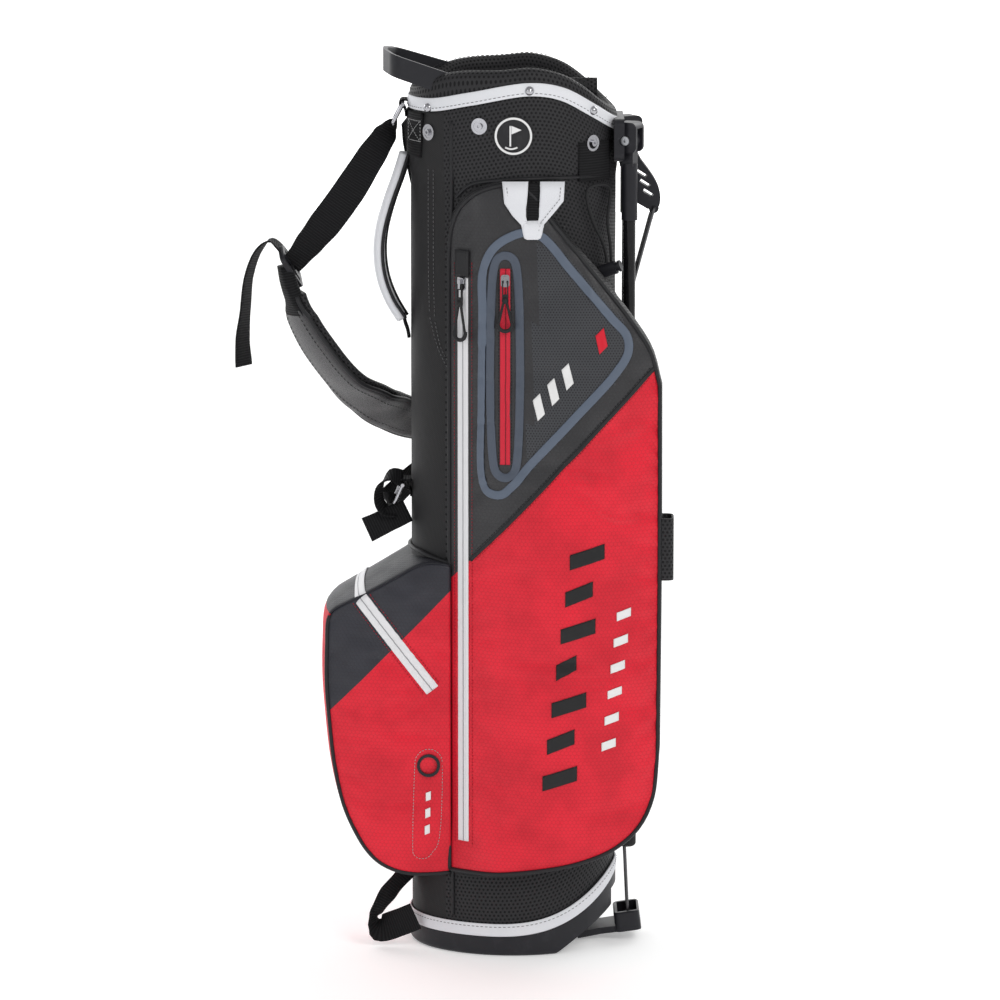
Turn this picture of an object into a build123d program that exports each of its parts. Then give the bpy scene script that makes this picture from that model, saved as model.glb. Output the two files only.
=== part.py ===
"""Golf stand bag, built as separate pieces.

An oval fabric tube stands on a moulded base cup and ends in a padded collar with a moulded handle.
The strap side faces -X, the stand legs face +X, the clothing pocket faces -Y, and +Z is up.
The origin is the centre of the tube on the floor.

The stand works like this: leaning the bag towards +X presses the base foot up against the slanted
face of the base cup. The foot pushes the wire up, the wire swings the yoke out, and the two legs
swing out and apart with it.
"""

from build123d import *
import math
import os

# ---------------------------------------------------------------- driving dimensions, millimetres
BODY_X = 102.0  # half width of the tube, strap side to leg side
BODY_Y = 88.0  # half depth of the tube
END_SHARE = 0.91  # radius of the tube's two ends, as a share of its smaller half width
BAG_HEIGHT = 888.0  # highest point of the collar
FABRIC = 2.0  # wall of the sewn tube
CLEAR = 0.4  # gap between sewn pieces that lie on each other

CUP_WALL = 3.6
CUP_FLOOR = 4.0
CUP_LIP = 22.0  # how far the cup's inner rim reaches up inside the tube
BASE_LOW = 20.0  # height of the cup's edge on the strap side
BASE_HIGH = 70.0  # and on the leg side
LEAN_ANGLE = 34.0  # slant of the base under the leg side
LEAN_START = 42.0  # where the slant leaves the floor
TRIM_WIDTH = 13.0  # white bands at the base and at the collar
TRIM_THICK = 1.8

COLLAR_PAD = 16.0  # thickness of the padded rim
RING_WALL = 4.0  # moulded ring inside the padded rim
RING_SKIN = 5.0  # padding outside that ring
RING_DROP = 44.0  # how far the ring reaches down inside the tube
RIVET_R = 1.6
RIVET_HEAD_R = 4.6
SNAP_R = 8.0

FOOT_HINGE_X = LEAN_START + 12.0
FOOT_HINGE_Z = 5.0
FOOT_PIN_R = 2.0
FOOT_REST = 8.0  # the foot's upward tilt at rest, degrees
FOOT_LENGTH = 74.0
FOOT_HALF_WIDTH = 28.0
FOOT_PLATE = 4.0
FOOT_BOX_HEIGHT = 20.0
FOOT_BOX_LENGTH = 26.0
WELL_DEPTH = 13.5  # recess in the slanted face that the foot's box folds into

LEG_R = 6.0
LEG_GAP = 12.5  # leg axis outside the tube
LEG_HALF_SPREAD = 32.0
LEG_PIVOT_DROP = 76.0  # below the top of the collar
LEG_BOTTOM = 100.0
SLEEVE_R = 7.8
SLEEVE_TOP = 23.0  # below the leg's pivot, clear of the bracket's ears when the leg swings
SLEEVE_LENGTH = 56.0
SPLAY = 25.0  # how far each leg's swing is turned away from the other, degrees
KNOB_HALF = 6.2
EAR = 3.6
PIVOT_PIN_R = 2.5
RUN = 0.05  # radial running clearance of every pin

YOKE_DROP = 98.0  # yoke pivot below the top of the collar
YOKE_GAP = 17.0  # yoke pivot outside the tube
YOKE_REACH = 20.0  # crossbar out from its pivot
YOKE_HANG = 48.0  # crossbar below its pivot
WIRE_R = 1.6
WIRE_HALF = 15.0

POCKET_LEFT = BODY_X - 39.0  # the clothing pocket's straight seam, towards the strap side
POCKET_OUT = 42.0  # how far it stands past the tube on the leg side
POCKET_DEPTH = 26.0  # how far its face stands out from the tube
POCKET_TOP = 113.0  # below the top of the collar
POCKET_BOTTOM = 86.0
POCKET_BACK = 56.0  # depth of its back edge beside the legs
ZIP_INSET = 14.0  # the long zip, from the pocket's straight seam
PHONE_INSET = 55.0  # the phone pocket's zip, from the same seam
ZIP_WIDTH = 11.0
ZIP_THICK = 1.6

BALL_OUT = 85.0  # how far the ball pocket stands out from the tube
BALL_TOP = 423.0
BALL_BOTTOM = 80.0
BALL_HALF = 79.0

WEB = 34.0  # strap webbing
WEB_THICK = 2.0
CORD_R = 1.5

FAR_LOW, FAR_HIGH = 400.0, 700.0
FAR_LEFT, FAR_RIGHT = -36.0, 62.0
FAR_DEPTH = 22.0
BOTTLE_LOW, BOTTLE_HIGH = 110.0, 345.0
BOTTLE_X, BOTTLE_R, BOTTLE_WALL = 14.0, 42.0, 5.0
RING_HALF, RING_DEEP, RING_R = 23.0, 22.0, 1.8
RING_TOP = (-BODY_X - 6.5, BAG_HEIGHT - 42.0, 28.0)  # x, z and tilt of each ring
RING_LOW = (-BODY_X - 8.0, 466.0, 24.0)
UMB_X = 79.0
UMB_Z = BAG_HEIGHT - 92.0

TALL = BAG_HEIGHT + 60.0  # taller than anything, for cutting
WIDE = 2.6 * BODY_X + BALL_OUT  # wider than anything, for cutting


# ---------------------------------------------------------------- shared shapes
def oval_arcs():
    """The tube's outline is four tangent arcs: (end radius, end centre x, side radius, side centre y)."""
    end_r = END_SHARE * min(BODY_X, BODY_Y)
    end_x = BODY_X - end_r
    side_r = (end_x**2 + BODY_Y**2 - end_r**2) / (2 * (BODY_Y - end_r))
    return end_r, end_x, side_r, side_r - BODY_Y


def oval(grow, low, high):
    """An upright oval column, grow millimetres outside the tube, from low to high."""
    end_r, end_x, side_r, side_y = oval_arcs()
    turn = math.degrees(math.atan2(side_y, end_x))
    arcs = [
        CenterArc((end_x, 0), end_r + grow, -turn, 2 * turn),
        CenterArc((0, -side_y), side_r + grow, turn, 180 - 2 * turn),
        CenterArc((-end_x, 0), end_r + grow, 180 - turn, 2 * turn),
        CenterArc((0, side_y), side_r + grow, 180 + turn, 180 - 2 * turn),
    ]
    return Pos(0, 0, low) * extrude(make_face(arcs), high - low)


def oval_ring(outer, inner, low, high):
    """An upright oval tube between two distances from the tube's surface."""
    return oval(outer, low, high) - oval(inner, low - 1, high + 1)


def skin_depth(x):
    """Depth of the tube's surface at x, as a positive number."""
    end_r, end_x, side_r, side_y = oval_arcs()
    if abs(x) > end_x * side_r / (side_r - end_r):
        return math.sqrt(max(0.0, end_r**2 - (abs(x) - end_x) ** 2))
    return math.sqrt(side_r**2 - x**2) - side_y


def skin_normal(x, side=-1):
    """Direction straight out of the tube at x, on the near side (-1) or the far side (1)."""
    end_r, end_x, side_r, side_y = oval_arcs()
    if abs(x) > end_x * side_r / (side_r - end_r):
        return Vector(x - math.copysign(end_x, x), side * skin_depth(x), 0).normalized()
    return Vector(x, side * (skin_depth(x) + side_y), 0).normalized()


def band_between(lower, upper):
    """Everything between two lines drawn across the bag's side, given as (x, z) points."""
    low = Spline(*[(x, 0, z) for x, z in lower])
    high = Spline(*[(x, 0, z) for x, z in upper])
    left = Line(low @ 0, high @ 0)
    right = Line(low @ 1, high @ 1)
    face = make_face([low, right, high, left])
    return extrude(face, WIDE, dir=(0, 1, 0), both=True)


def level(z):
    """A straight line across the bag's side at one height."""
    reach = 1.15 * BODY_X
    return [(-reach, z), (0, z), (reach, z)]


def shifted(line, dz):
    """The same line across the bag's side, dz higher."""
    return [(x, z + dz) for x, z in line]


def side_slab(points, near, far):
    """A solid with a straight-sided outline in the bag's side view, between two values of y."""
    face = make_face(Polyline(*[(x, 0, z) for x, z in points], close=True))
    return Pos(0, near, 0) * extrude(face, far - near, dir=(0, 1, 0))


def profile_slab(points):
    """A solid with a straight-sided outline seen from the leg side, given as (y, z) points."""
    face = make_face(Polyline(*[(0, y, z) for y, z in points], close=True))
    return extrude(face, WIDE, dir=(1, 0, 0), both=True)


def plan_slab(points, low, high):
    """A solid with a straight-sided outline seen from above, between two heights."""
    face = make_face(Polyline(*[(x, y) for x, y in points], close=True))
    return Pos(0, 0, low) * extrude(face, high - low, dir=(0, 0, 1))


def mirrored(part):
    """The same piece on the other side of the bag."""
    return mirror(part, about=Plane.XZ)


def rod(start, end, radius):
    """A round rod between two points."""
    along = Vector(end) - Vector(start)
    return Plane(origin=start, z_dir=along) * Pos(0, 0, along.length / 2) * Cylinder(radius, along.length)


def on_skin(x, z, side):
    """A plane on the tube's surface, its z axis pointing out. side is -1 near, 1 far."""
    return Plane(origin=(x, side * skin_depth(x), z), x_dir=(0, 0, 1), z_dir=skin_normal(x, side))


def ribbon_frames(stations, outline):
    """Cross-sections of a strap through stations of (centre, width direction, width)."""
    sections = []
    last = len(stations) - 1
    for i, (centre, across, width) in enumerate(stations):
        ahead = Vector(stations[min(i + 1, last)][0]) - Vector(stations[max(i - 1, 0)][0])
        across = Vector(across)
        across = across - ahead * (across.dot(ahead) / ahead.dot(ahead))
        sections.append(Plane(origin=centre, x_dir=across, z_dir=ahead) * outline(width))
    return sections


def ribbon(stations, thickness):
    """A flat band through stations of (centre, width direction, width)."""
    return loft(ribbon_frames(stations, lambda width: Rectangle(width, thickness)), ruled=True)


def wire(points, radii, radius):
    """A round wire with rounded corners."""
    path = FilletPolyline(*points, radius=radii)
    return sweep(Plane(origin=path @ 0, z_dir=path % 0) * Circle(radius), path=path)


# ---------------------------------------------------------------- lines across the bag
def base_line():
    """The cup's upper edge: level on the strap side and sweeping up towards the legs."""
    start = -0.3 * BODY_X
    points = []
    for share in (-1.15, -0.75, -0.3, 0.0, 0.3, 0.6, 0.85, 1.0, 1.15):
        rise = max(0.0, (share * BODY_X - start) / (BODY_X - start))
        points.append((share * BODY_X, BASE_LOW + (BASE_HIGH - BASE_LOW) * rise**3))
    return points


def collar_line():
    """The middle of the collar's white band: a gull wing, highest beside the badge."""
    drops = ((-1.15, 39), (-0.8, 39), (-0.42, 31), (0.15, 21), (0.46, 26), (0.75, 43), (1.0, 61), (1.15, 70))
    return [(share * BODY_X, BAG_HEIGHT - drop) for share, drop in drops]


def rim_line():
    """The top of the padded rim, lower under the handle and falling towards the legs."""
    drops = ((-1.15, 24), (-0.95, 20), (-0.65, 6), (-0.1, 2), (0.2, 0), (0.5, 7), (0.7, 19), (0.9, 36), (1.15, 54))
    return [(share * BODY_X, BAG_HEIGHT - drop) for share, drop in drops]


# ---------------------------------------------------------------- base
def lean_plane(lift=0.0):
    """Everything above the base's slanted face, moved up by lift at right angles to it."""
    angle = math.radians(LEAN_ANGLE)
    start = LEAN_START - lift / math.sin(angle)
    reach = 2 * BODY_X
    rise = (reach - start) * math.tan(angle)
    return side_slab(
        [(start, 0), (reach, rise), (reach, TALL), (-reach, TALL), (-reach, -1), (start, -1)],
        -2 * BODY_Y,
        2 * BODY_Y,
    )


def base_cup():
    """Moulded cup: a floor, a wall up to the base line, an inner lip and two ears for the foot."""
    edge = base_line()
    outer = oval(TRIM_THICK, 0, BASE_HIGH + CUP_LIP)
    wall = outer & band_between(level(-5), shifted(edge, -CLEAR)) & lean_plane()
    bottom = [e for e in wall.edges() if e.center().Z < 0.5 and e.length > 60]
    wall = fillet(bottom, 5.0)
    lip = oval_ring(-FABRIC - CLEAR, -FABRIC - CUP_WALL, CUP_FLOOR, BASE_HIGH + 2 * CUP_LIP)
    lip = lip & band_between(level(CUP_FLOOR), shifted(edge, CUP_LIP)) & lean_plane(CUP_WALL)
    hollow = oval(-FABRIC - CUP_WALL, CUP_FLOOR, TALL) & lean_plane(CUP_WALL)
    cup = (wall + lip) - (hollow - foot_well(CUP_WALL)) - foot_well(0)
    hinge = Pos(FOOT_HINGE_X, 0, FOOT_HINGE_Z) * Rot(90, 0, 0)
    for side in (-1, 1):
        y = side * (FOOT_HALF_WIDTH + 7)
        ear = Pos(FOOT_HINGE_X, y, FOOT_HINGE_Z) * Rot(90, 0, 0) * Cylinder(4.2, 9)
        cup += ear + Pos(FOOT_HINGE_X, y, FOOT_HINGE_Z + 4) * Box(8.4, 9, 8)
    cup -= hinge * Cylinder(6.0, 2 * FOOT_HALF_WIDTH + 4)
    cup -= hinge * Cylinder(FOOT_PIN_R + RUN, 4 * FOOT_HALF_WIDTH)
    return cup


def foot_well(grow):
    """Room in the cup's slanted face for the foot's box, grown by a wall's thickness."""
    near = 60.5 - grow
    wide, deep = 55.0 + 2 * grow, WELL_DEPTH + grow
    room = Pos(near + BODY_X / 2, 0, deep / 2 - 10) * Box(BODY_X, wide, deep + 20)
    return Pos(LEAN_START, 0, 0) * Rot(0, -LEAN_ANGLE, 0) * room


def base_trim():
    """White band sewn over the joint between the tube and the cup."""
    edge = base_line()
    ring = oval_ring(TRIM_THICK, CLEAR / 2, 0, BASE_HIGH + CUP_LIP + TRIM_WIDTH)
    return ring & band_between(edge, shifted(edge, TRIM_WIDTH))


def foot_hinge_pin():
    """Steel pin through the cup's two ears and the foot's knuckle."""
    return Pos(FOOT_HINGE_X, 0, FOOT_HINGE_Z) * Rot(90, 0, 0) * Cylinder(FOOT_PIN_R, 2 * FOOT_HALF_WIDTH + 23)


def base_foot():
    """Hinged foot: a knuckle, a plate that narrows, and a box end with a pocket for the wire."""
    half = FOOT_HALF_WIDTH
    knuckle = Rot(90, 0, 0) * Cylinder(4.0, 2 * half)
    neck = 0.48 * FOOT_LENGTH
    plate_plan = [
        (0, -half), (neck, -0.72 * half), (FOOT_LENGTH - 6, -0.8 * half),
        (FOOT_LENGTH - 6, 0.8 * half), (neck, 0.72 * half), (0, half),
    ]
    plate = plan_slab(plate_plan, -FOOT_PLATE / 2, FOOT_PLATE / 2)
    side_wall = plan_slab(plate_plan, -4.5, FOOT_PLATE / 2) - plan_slab(
        [(-8, 0.55 - half), (neck, 3 - 0.72 * half), (FOOT_LENGTH, 3 - 0.8 * half),
         (FOOT_LENGTH, 0.8 * half - 3), (neck, 0.72 * half - 3), (-8, half - 0.55)], -9, 9)
    side_wall = side_wall & Pos(neck / 2 + 15, 0, 0) * Box(neck + 8, 4 * half, 40)
    box_mid = FOOT_LENGTH - 11
    box = Pos(box_mid, 0, FOOT_BOX_HEIGHT / 2 - 4) * Box(FOOT_BOX_LENGTH, 1.84 * half, FOOT_BOX_HEIGHT)
    box = fillet(box.edges().filter_by(Axis.Z), 6)
    box = fillet(box.faces().sort_by(Axis.Z)[-1].edges(), 2)
    pocket = Pos(box_mid + 1, 0, FOOT_BOX_HEIGHT / 2 + 0.4) * Box(FOOT_BOX_LENGTH - 6, 1.45 * half, FOOT_BOX_HEIGHT)
    foot = knuckle + plate + side_wall + box - pocket
    foot -= Rot(90, 0, 0) * Cylinder(FOOT_PIN_R + RUN, 4 * half)
    return Pos(FOOT_HINGE_X, 0, FOOT_HINGE_Z) * Rot(0, -FOOT_REST, 0) * foot


# ---------------------------------------------------------------- tube
def body_shell():
    """The sewn tube, from the cup's edge to the middle of the collar band."""
    tube = oval_ring(0, -FABRIC, 0, TALL) & band_between(base_line(), shifted(collar_line(), -CLEAR))
    for snap in snap_places():
        tube -= snap * Cylinder(2.2, 12)
    for rivet in rivet_places():
        tube -= rivet * Cylinder(RIVET_R + 0.2, 60)
    for x, y, z in bracket_screw_places():
        tube -= Pos(x, y, z) * Rot(0, 90, 0) * Cylinder(2.4, 60)
    return tube


def stay_rods():
    """Three glass-fibre stays inside the tube that hold the collar up over the cup."""
    inset = BODY_X - FABRIC - CUP_WALL - 5.0
    rods = []
    for x, y, foot_z in ((-inset + 4, 26, CUP_FLOOR), (-inset + 4, -26, CUP_FLOOR), (inset - 2, 0, 58)):
        rods.append(rod((x, y, foot_z + CLEAR), (x, y, BAG_HEIGHT - 120), 3.0))
    return Compound(rods)


def divider_sheets():
    """Full-length fabric dividers: one sheet along the bag and two across it."""
    low, high = CUP_FLOOR + 46, BAG_HEIGHT - 40
    reach = BODY_X - COLLAR_PAD - 3
    long_sheet = Pos(0, 0, (low + high) / 2) * Box(2 * reach, 1.6, high - low)
    cross = Pos(8, 0, (low + high) / 2) * Box(1.6, 2 * (BODY_Y - COLLAR_PAD - 4), high - low)
    return long_sheet + cross


# ---------------------------------------------------------------- collar
def rivet_places():
    """Planes of the rivets along the collar band, out of the band's middle."""
    places = []
    for share, drop in ((-0.8, 42), (0.15, 22), (0.75, 44)):
        for side in (-1, 1):
            places.append(on_skin(share * BODY_X, BAG_HEIGHT - drop, side))
    return places


def snap_places():
    """Planes of the press studs that hold the rain hood."""
    places = []
    for share, drop in ((-0.8, 66), (-0.32, 57), (0.75, 76)):
        for side in (-1, 1):
            places.append(on_skin(share * BODY_X, BAG_HEIGHT - drop, side))
    return places


def bracket_screw_places():
    """Where the stand bracket is screwed to the collar ring."""
    return [(BODY_X, side * 12.0, BAG_HEIGHT - drop) for side in (-1, 1) for drop in (74, 92)]


def collar_frame():
    """Moulded ring inside the rim, with the top handle that grows out of it over the strap side."""
    outer, inner = -RING_SKIN, -RING_SKIN - RING_WALL
    ring = oval_ring(outer, inner, 0, TALL) & band_between(
        shifted(collar_line(), -RING_DROP), shifted(rim_line(), -9)
    )
    root_x, tip_x = -0.62 * BODY_X, -BODY_X - 24.0
    root_z, tip_z = BAG_HEIGHT - 19, BAG_HEIGHT + 1
    root_y, wall, tall = 58.0, 4.6, 22.0
    route = FilletPolyline(
        (root_x, -root_y), (tip_x + 10, -44), (tip_x, -12), (tip_x, 12), (tip_x + 10, 44), (root_x, root_y),
        radius=(20, 26, 26, 20),
    )
    loop = trace(route, line_width=wall)
    handle = Pos(0, 0, BAG_HEIGHT - 60) * extrude(loop, 120)
    slope = [
        (tip_x - 20, tip_z - tall / 2 + 6), (root_x + 20, root_z - tall / 2 - 6),
        (root_x + 20, root_z + tall / 2 - 6), (tip_x - 20, tip_z + tall / 2 + 6),
    ]
    handle = handle & side_slab(slope, -WIDE, WIDE)
    frame = ring + handle
    for rivet in rivet_places():
        frame -= rivet * Cylinder(RIVET_R + 0.2, 60)
    for x, y, z in bracket_screw_places():
        frame -= Pos(x, y, z) * Rot(0, 90, 0) * Cylinder(1.6, 60)
    return frame


def collar_pad(frame):
    """Padded mesh rim around the ring, slit where the handle comes out."""
    pad = oval_ring(0, -COLLAR_PAD, 0, TALL) & band_between(shifted(collar_line(), CLEAR), rim_line())
    pad -= frame
    for rivet in rivet_places():
        pad -= rivet * Cylinder(RIVET_R + 0.2, 60)
    return pad


def collar_trim():
    """White band around the collar."""
    line = collar_line()
    ring = oval_ring(TRIM_THICK, CLEAR / 2, 0, TALL)
    trim = ring & band_between(shifted(line, -TRIM_WIDTH / 2), shifted(line, TRIM_WIDTH / 2))
    for rivet in rivet_places():
        trim -= rivet * Cylinder(RIVET_R + 0.2, 60)
    return trim


def collar_rivets():
    """Domed rivets through the band, the tube and the ring."""
    shank = RING_SKIN + RING_WALL + TRIM_THICK
    rivets = []
    for place in rivet_places():
        head = Pos(0, 0, TRIM_THICK + 0.3) * (Sphere(RIVET_HEAD_R) & Pos(0, 0, 5) * Box(20, 20, 10))
        body = Pos(0, 0, TRIM_THICK + 0.4 - shank / 2) * Cylinder(RIVET_R, shank)
        rivets.append(place * (head + body))
    return Compound(rivets)


def hood_snaps():
    """Press studs for the rain hood: a ring, a stud and a shank with a washer inside."""
    snaps = []
    for place in snap_places():
        ring = Cylinder(SNAP_R, 1.6) - Pos(0, 0, 1.0) * Cylinder(SNAP_R - 2.4, 1.2)
        stud = Pos(0, 0, 1.2) * Cylinder(3.2, 3.2)
        shank = Pos(0, 0, -1.5) * Cylinder(2.0, 6.4)
        socket = Pos(0, 0, 3.0) * Cylinder(1.4, 3.0)
        snaps.append(place * (Pos(0, 0, 1.7) * (ring + stud - socket) + shank))
    return Compound(snaps)


def divider_bars():
    """Padded bars across the mouth: one along the bag and one across it."""
    z = BAG_HEIGHT - 28
    long_bar = Pos(0, 0, z) * Box(2 * (BODY_X - COLLAR_PAD - 3), 13, 22)
    cross = Pos(8, 0, z) * Box(13, 2 * (BODY_Y - COLLAR_PAD - 4), 22)
    bars = long_bar + cross
    sheets = Pos(0, 0, z - 12) * Box(2 * BODY_X, 2.4, 10) + Pos(8, 0, z - 12) * Box(2.4, 2 * BODY_Y, 10)
    return bars - sheets


def badge():
    """Round sewn patch on the collar's near side."""
    place = on_skin(0, BAG_HEIGHT - 66, -1)
    disc = place * Pos(0, 0, 1.0) * Cylinder(19.5, 4.0)
    return disc & oval_ring(1.8, CLEAR, BAG_HEIGHT - 120, BAG_HEIGHT)


# ---------------------------------------------------------------- clothing pocket, near side
def pocket_outline():
    """The clothing pocket in side view: straight seam, arched top, slanted shoulder, round bottom."""
    left, right = -POCKET_LEFT, BODY_X + POCKET_OUT
    top, low = BAG_HEIGHT - POCKET_TOP, POCKET_BOTTOM
    return [
        (left, low), (left, top - 62), (left + 6, top - 34), (left + 22, top - 11), (left + 44, top - 2),
        (-2, top), (14, top - 6), (32, top - 31), (right - 57, top - 97), (right - 18, top - 148),
        (right - 5, top - 172), (right, top - 198), (right, low + 128), (right - 7, low + 76),
        (right - 34, low + 36), (right - 84, low + 12), (right - 150, low + 3),
    ]


def between(knots, at):
    """Straight-line value at one place, from (place, value) knots in rising order."""
    for (x0, v0), (x1, v1) in zip(knots, knots[1:]):
        if at <= x1:
            return v0 + (v1 - v0) * (at - x0) / (x1 - x0)
    return knots[-1][1]


def face_knots():
    """(x, depth) of the clothing pocket's face across the bag."""
    left, right = -POCKET_LEFT, BODY_X + POCKET_OUT
    full = BODY_Y + POCKET_DEPTH
    return (
        (left, skin_depth(left) + 2), (left + 6, skin_depth(left) + 9), (left + 20, full - 24),
        (left + 38, full - 11), (left + 52, full - 4), (left + 90, full - 1), (right - 50, full - 1),
        (right - 18, full - 8), (right, full - 20),
    )


def side_knots():
    """(height, depth) of the clothing pocket's face, from its top edge down."""
    top, full = BAG_HEIGHT - POCKET_TOP, BODY_Y + POCKET_DEPTH
    return (
        (POCKET_BOTTOM - 10, full - 6), (POCKET_BOTTOM + 60, full), (top - 480, full), (top - 290, full - 4),
        (top - 75, full - 17), (top + 5, full - 24),
    )


def apparel_pocket():
    """Clothing pocket, with its lining, as one soft solid that wraps the tube's near side."""
    left, right = -POCKET_LEFT, BODY_X + POCKET_OUT
    back = [(right, -POCKET_BACK - 8), (right - 6, -POCKET_BACK), (BODY_X - 20, -POCKET_BACK), (left, -40)]
    plan = [(x, -depth) for x, depth in face_knots()] + back
    body = side_slab(pocket_outline(), -WIDE, 0) & plan_slab(plan, 0, TALL)
    body = body & profile_slab([(0, side_knots()[0][0])] + [(-depth, z) for z, depth in side_knots()]
                               + [(0, side_knots()[-1][0])])
    body -= oval(CLEAR, 0, TALL)
    body -= zip_space(apparel_zip_line())
    body -= zip_space(phone_zip_line())
    return body


def apparel_zip_line():
    """(top, bottom, outward direction) of the clothing pocket's long zip."""
    x = ZIP_INSET - POCKET_LEFT
    depth = between(face_knots(), x) + 0.3
    top = (x, -depth, BAG_HEIGHT - POCKET_TOP - 78)
    bottom = (x, -depth, POCKET_BOTTOM + 32)
    return top, bottom, (-0.6, -0.8, 0)


def phone_zip_line():
    """(top, bottom, outward direction) of the phone pocket's short zip."""
    x = PHONE_INSET - POCKET_LEFT
    ends = [BAG_HEIGHT - POCKET_TOP - drop for drop in (82, 274)]
    top, bottom = ((x, -between(side_knots(), z) - 0.3, z) for z in ends)
    return top, bottom, (0, -1, 0)


def zip_frame(line, at=0.0):
    """A plane on a zip: x across, y along it downwards, z out of the pocket. at is 0 top, 1 bottom."""
    top, bottom, out = (Vector(v) for v in line)
    along = (bottom - top).normalized()
    out = (out - along * out.dot(along)).normalized()
    return Plane(origin=top + (bottom - top) * at, x_dir=along.cross(out), z_dir=out)


def zip_length(line):
    """How long a zip is."""
    return (Vector(line[1]) - Vector(line[0])).length


def zip_tape(line):
    """Zip tape with its two closed rows of teeth."""
    length = zip_length(line)
    tape = Pos(0, 0, -ZIP_THICK / 2) * Box(ZIP_WIDTH, length, ZIP_THICK)
    teeth = Pos(0, 0, 0.3) * Box(3.6, length - 6, 1.0)
    return zip_frame(line, 0.5) * (tape + teeth)


def zip_space(line):
    """Room in the pocket's solid for the tape, and for the slider and pull in front of it."""
    length = zip_length(line) + 4
    tape = Pos(0, 0, 24 - ZIP_THICK - CLEAR) * Box(ZIP_WIDTH + 6, length, 48)
    return zip_frame(line, 0.5) * tape


def zip_slider(line, at):
    """Cast slider that rides on the teeth, with a loop for its pull."""
    body = Pos(0, 0, 2.6) * Box(8.5, 12, 3.0)
    body = fillet(body.edges().filter_by(Axis.Z), 2.5)
    bridge = Pos(0, 0, 5.4) * Box(2.6, 9, 3.4)
    eye = Pos(0, 1, 5.6) * Rot(0, 90, 0) * Cylinder(1.25, 12)
    return zip_frame(line, at) * (body + bridge - eye)


def zip_pull(line, at, length):
    """Pull that hangs from the slider: a pin, a metal link, a cord loop and a moulded grip ring."""
    pin = Pos(0, 1, 5.6) * Rot(0, 90, 0) * Cylinder(1.2, 6.4)
    cheeks = [Pos(side * 2.5, 7, 5.6) * Box(1.2, 14, 2.0) for side in (-1, 1)]
    link = Pos(0, 15, 5.6) * Box(6.2, 4, 2.0)
    knot = Pos(0, 19, 5.8) * Sphere(3.4)
    start, end = 20.0, length
    sides = [rod((side * 1.4, start, 5.8), (side * 6.4, end - 10, 5.8), 1.3) for side in (-1, 1)]
    grip = Pos(0, end - 10, 5.8) * (Torus(7.0, 1.9) - Pos(0, -10, 0) * Box(40, 17, 20))
    pull = pin + cheeks[0] + cheeks[1] + link + knot + sides[0] + sides[1] + grip
    return zip_frame(line, at) * pull


def pull_axis(line, at):
    """Where a pull turns on its slider, for the record."""
    place = zip_frame(line, at)
    return place.from_local_coords((0, 1, 5.6)), place.x_dir, place.z_dir


def towel_tab():
    """Two-legged tab with a slot, sewn under the collar's lower seam for a towel or carabiner."""
    top = BAG_HEIGHT - POCKET_TOP
    outline = [
        (-11, top + 3), (50, top + 3), (49, top - 16), (28, top - 41), (25, top - 53), (12, top - 53),
        (8, top - 41), (-9, top - 18),
    ]
    slot = [(16, top + 5), (24, top + 5), (25, top - 24), (12, top - 24)]
    low, high = top - 75, top + 5
    behind = [-between(side_knots(), z) - CLEAR for z in (low, high)]
    sheet = profile_slab([(behind[0], low), (behind[1], high), (behind[1] - 1.6, high), (behind[0] - 1.6, low)])
    return (side_slab(outline, -WIDE, 0) - side_slab(slot, -WIDE, 0)) & sheet


# ---------------------------------------------------------------- ball pocket, strap side
def ball_outline():
    """The ball pocket in side view: a slanted top and a front that tapers down to a round toe."""
    x, top, low = -BODY_X, BALL_TOP, BALL_BOTTOM
    out = BALL_OUT
    return [
        (39 + x, low + 2), (39 + x, top - 29), (x + 4, top), (x - 12, top - 3), (x - 30, top - 14), (x - 65, top - 52),
        (x - out + 3, top - 75), (x - out, top - 110), (x - out, top - 162), (x - out + 8, low + 118),
        (x - out + 22, low + 56), (x - out + 38, low + 24), (x - out + 54, low + 8), (x - 4, low),
    ]


def ball_pocket():
    """Ball pocket as one soft solid that wraps the tube's strap side."""
    x, half, out = -BODY_X, BALL_HALF, BALL_OUT
    near = [
        (x + 39, -half + 3), (x - 8, -half), (x - 40, -half + 4), (x - 68, -half + 17),
        (x - out + 4, -half + 38), (x - out, -14),
    ]
    plan = near + [(px, -py) for px, py in reversed(near)]
    body = side_slab(ball_outline(), -WIDE, WIDE) & plan_slab(plan, 0, TALL)
    body -= oval(CLEAR, 0, TALL)
    for side in (-1, 1):
        body -= zip_space(ball_zip_line(side))
    return body & side_slab([(-WIDE, 0), (39 + x - CLEAR, 0), (39 + x - CLEAR, TALL), (-WIDE, TALL)], -WIDE, WIDE)


def ball_zip_line(side=1):
    """The straight run of the ball pocket's zip on one side, far side by default."""
    depth = side * (BALL_HALF - 1.5)
    top = (-BODY_X - 42, depth, BALL_TOP - 72)
    bottom = (-BODY_X + 21, depth, BALL_TOP - 152)
    return top, bottom, (0, side, 0)


def ball_zip_tape():
    """Zip tape on both sides of the ball pocket."""
    return Compound([zip_tape(ball_zip_line(side)) for side in (-1, 1)])


def pen_grommet():
    """Moulded ring round the mouth of the pen sleeve."""
    place = Pos(-BODY_X + 18, -BALL_HALF - 0.4, BALL_BOTTOM + 113) * Rot(90, 0, 0)
    return place * (Cylinder(11.5, 2.4) - Cylinder(8.6, 6))


# ---------------------------------------------------------------- far side


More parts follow.
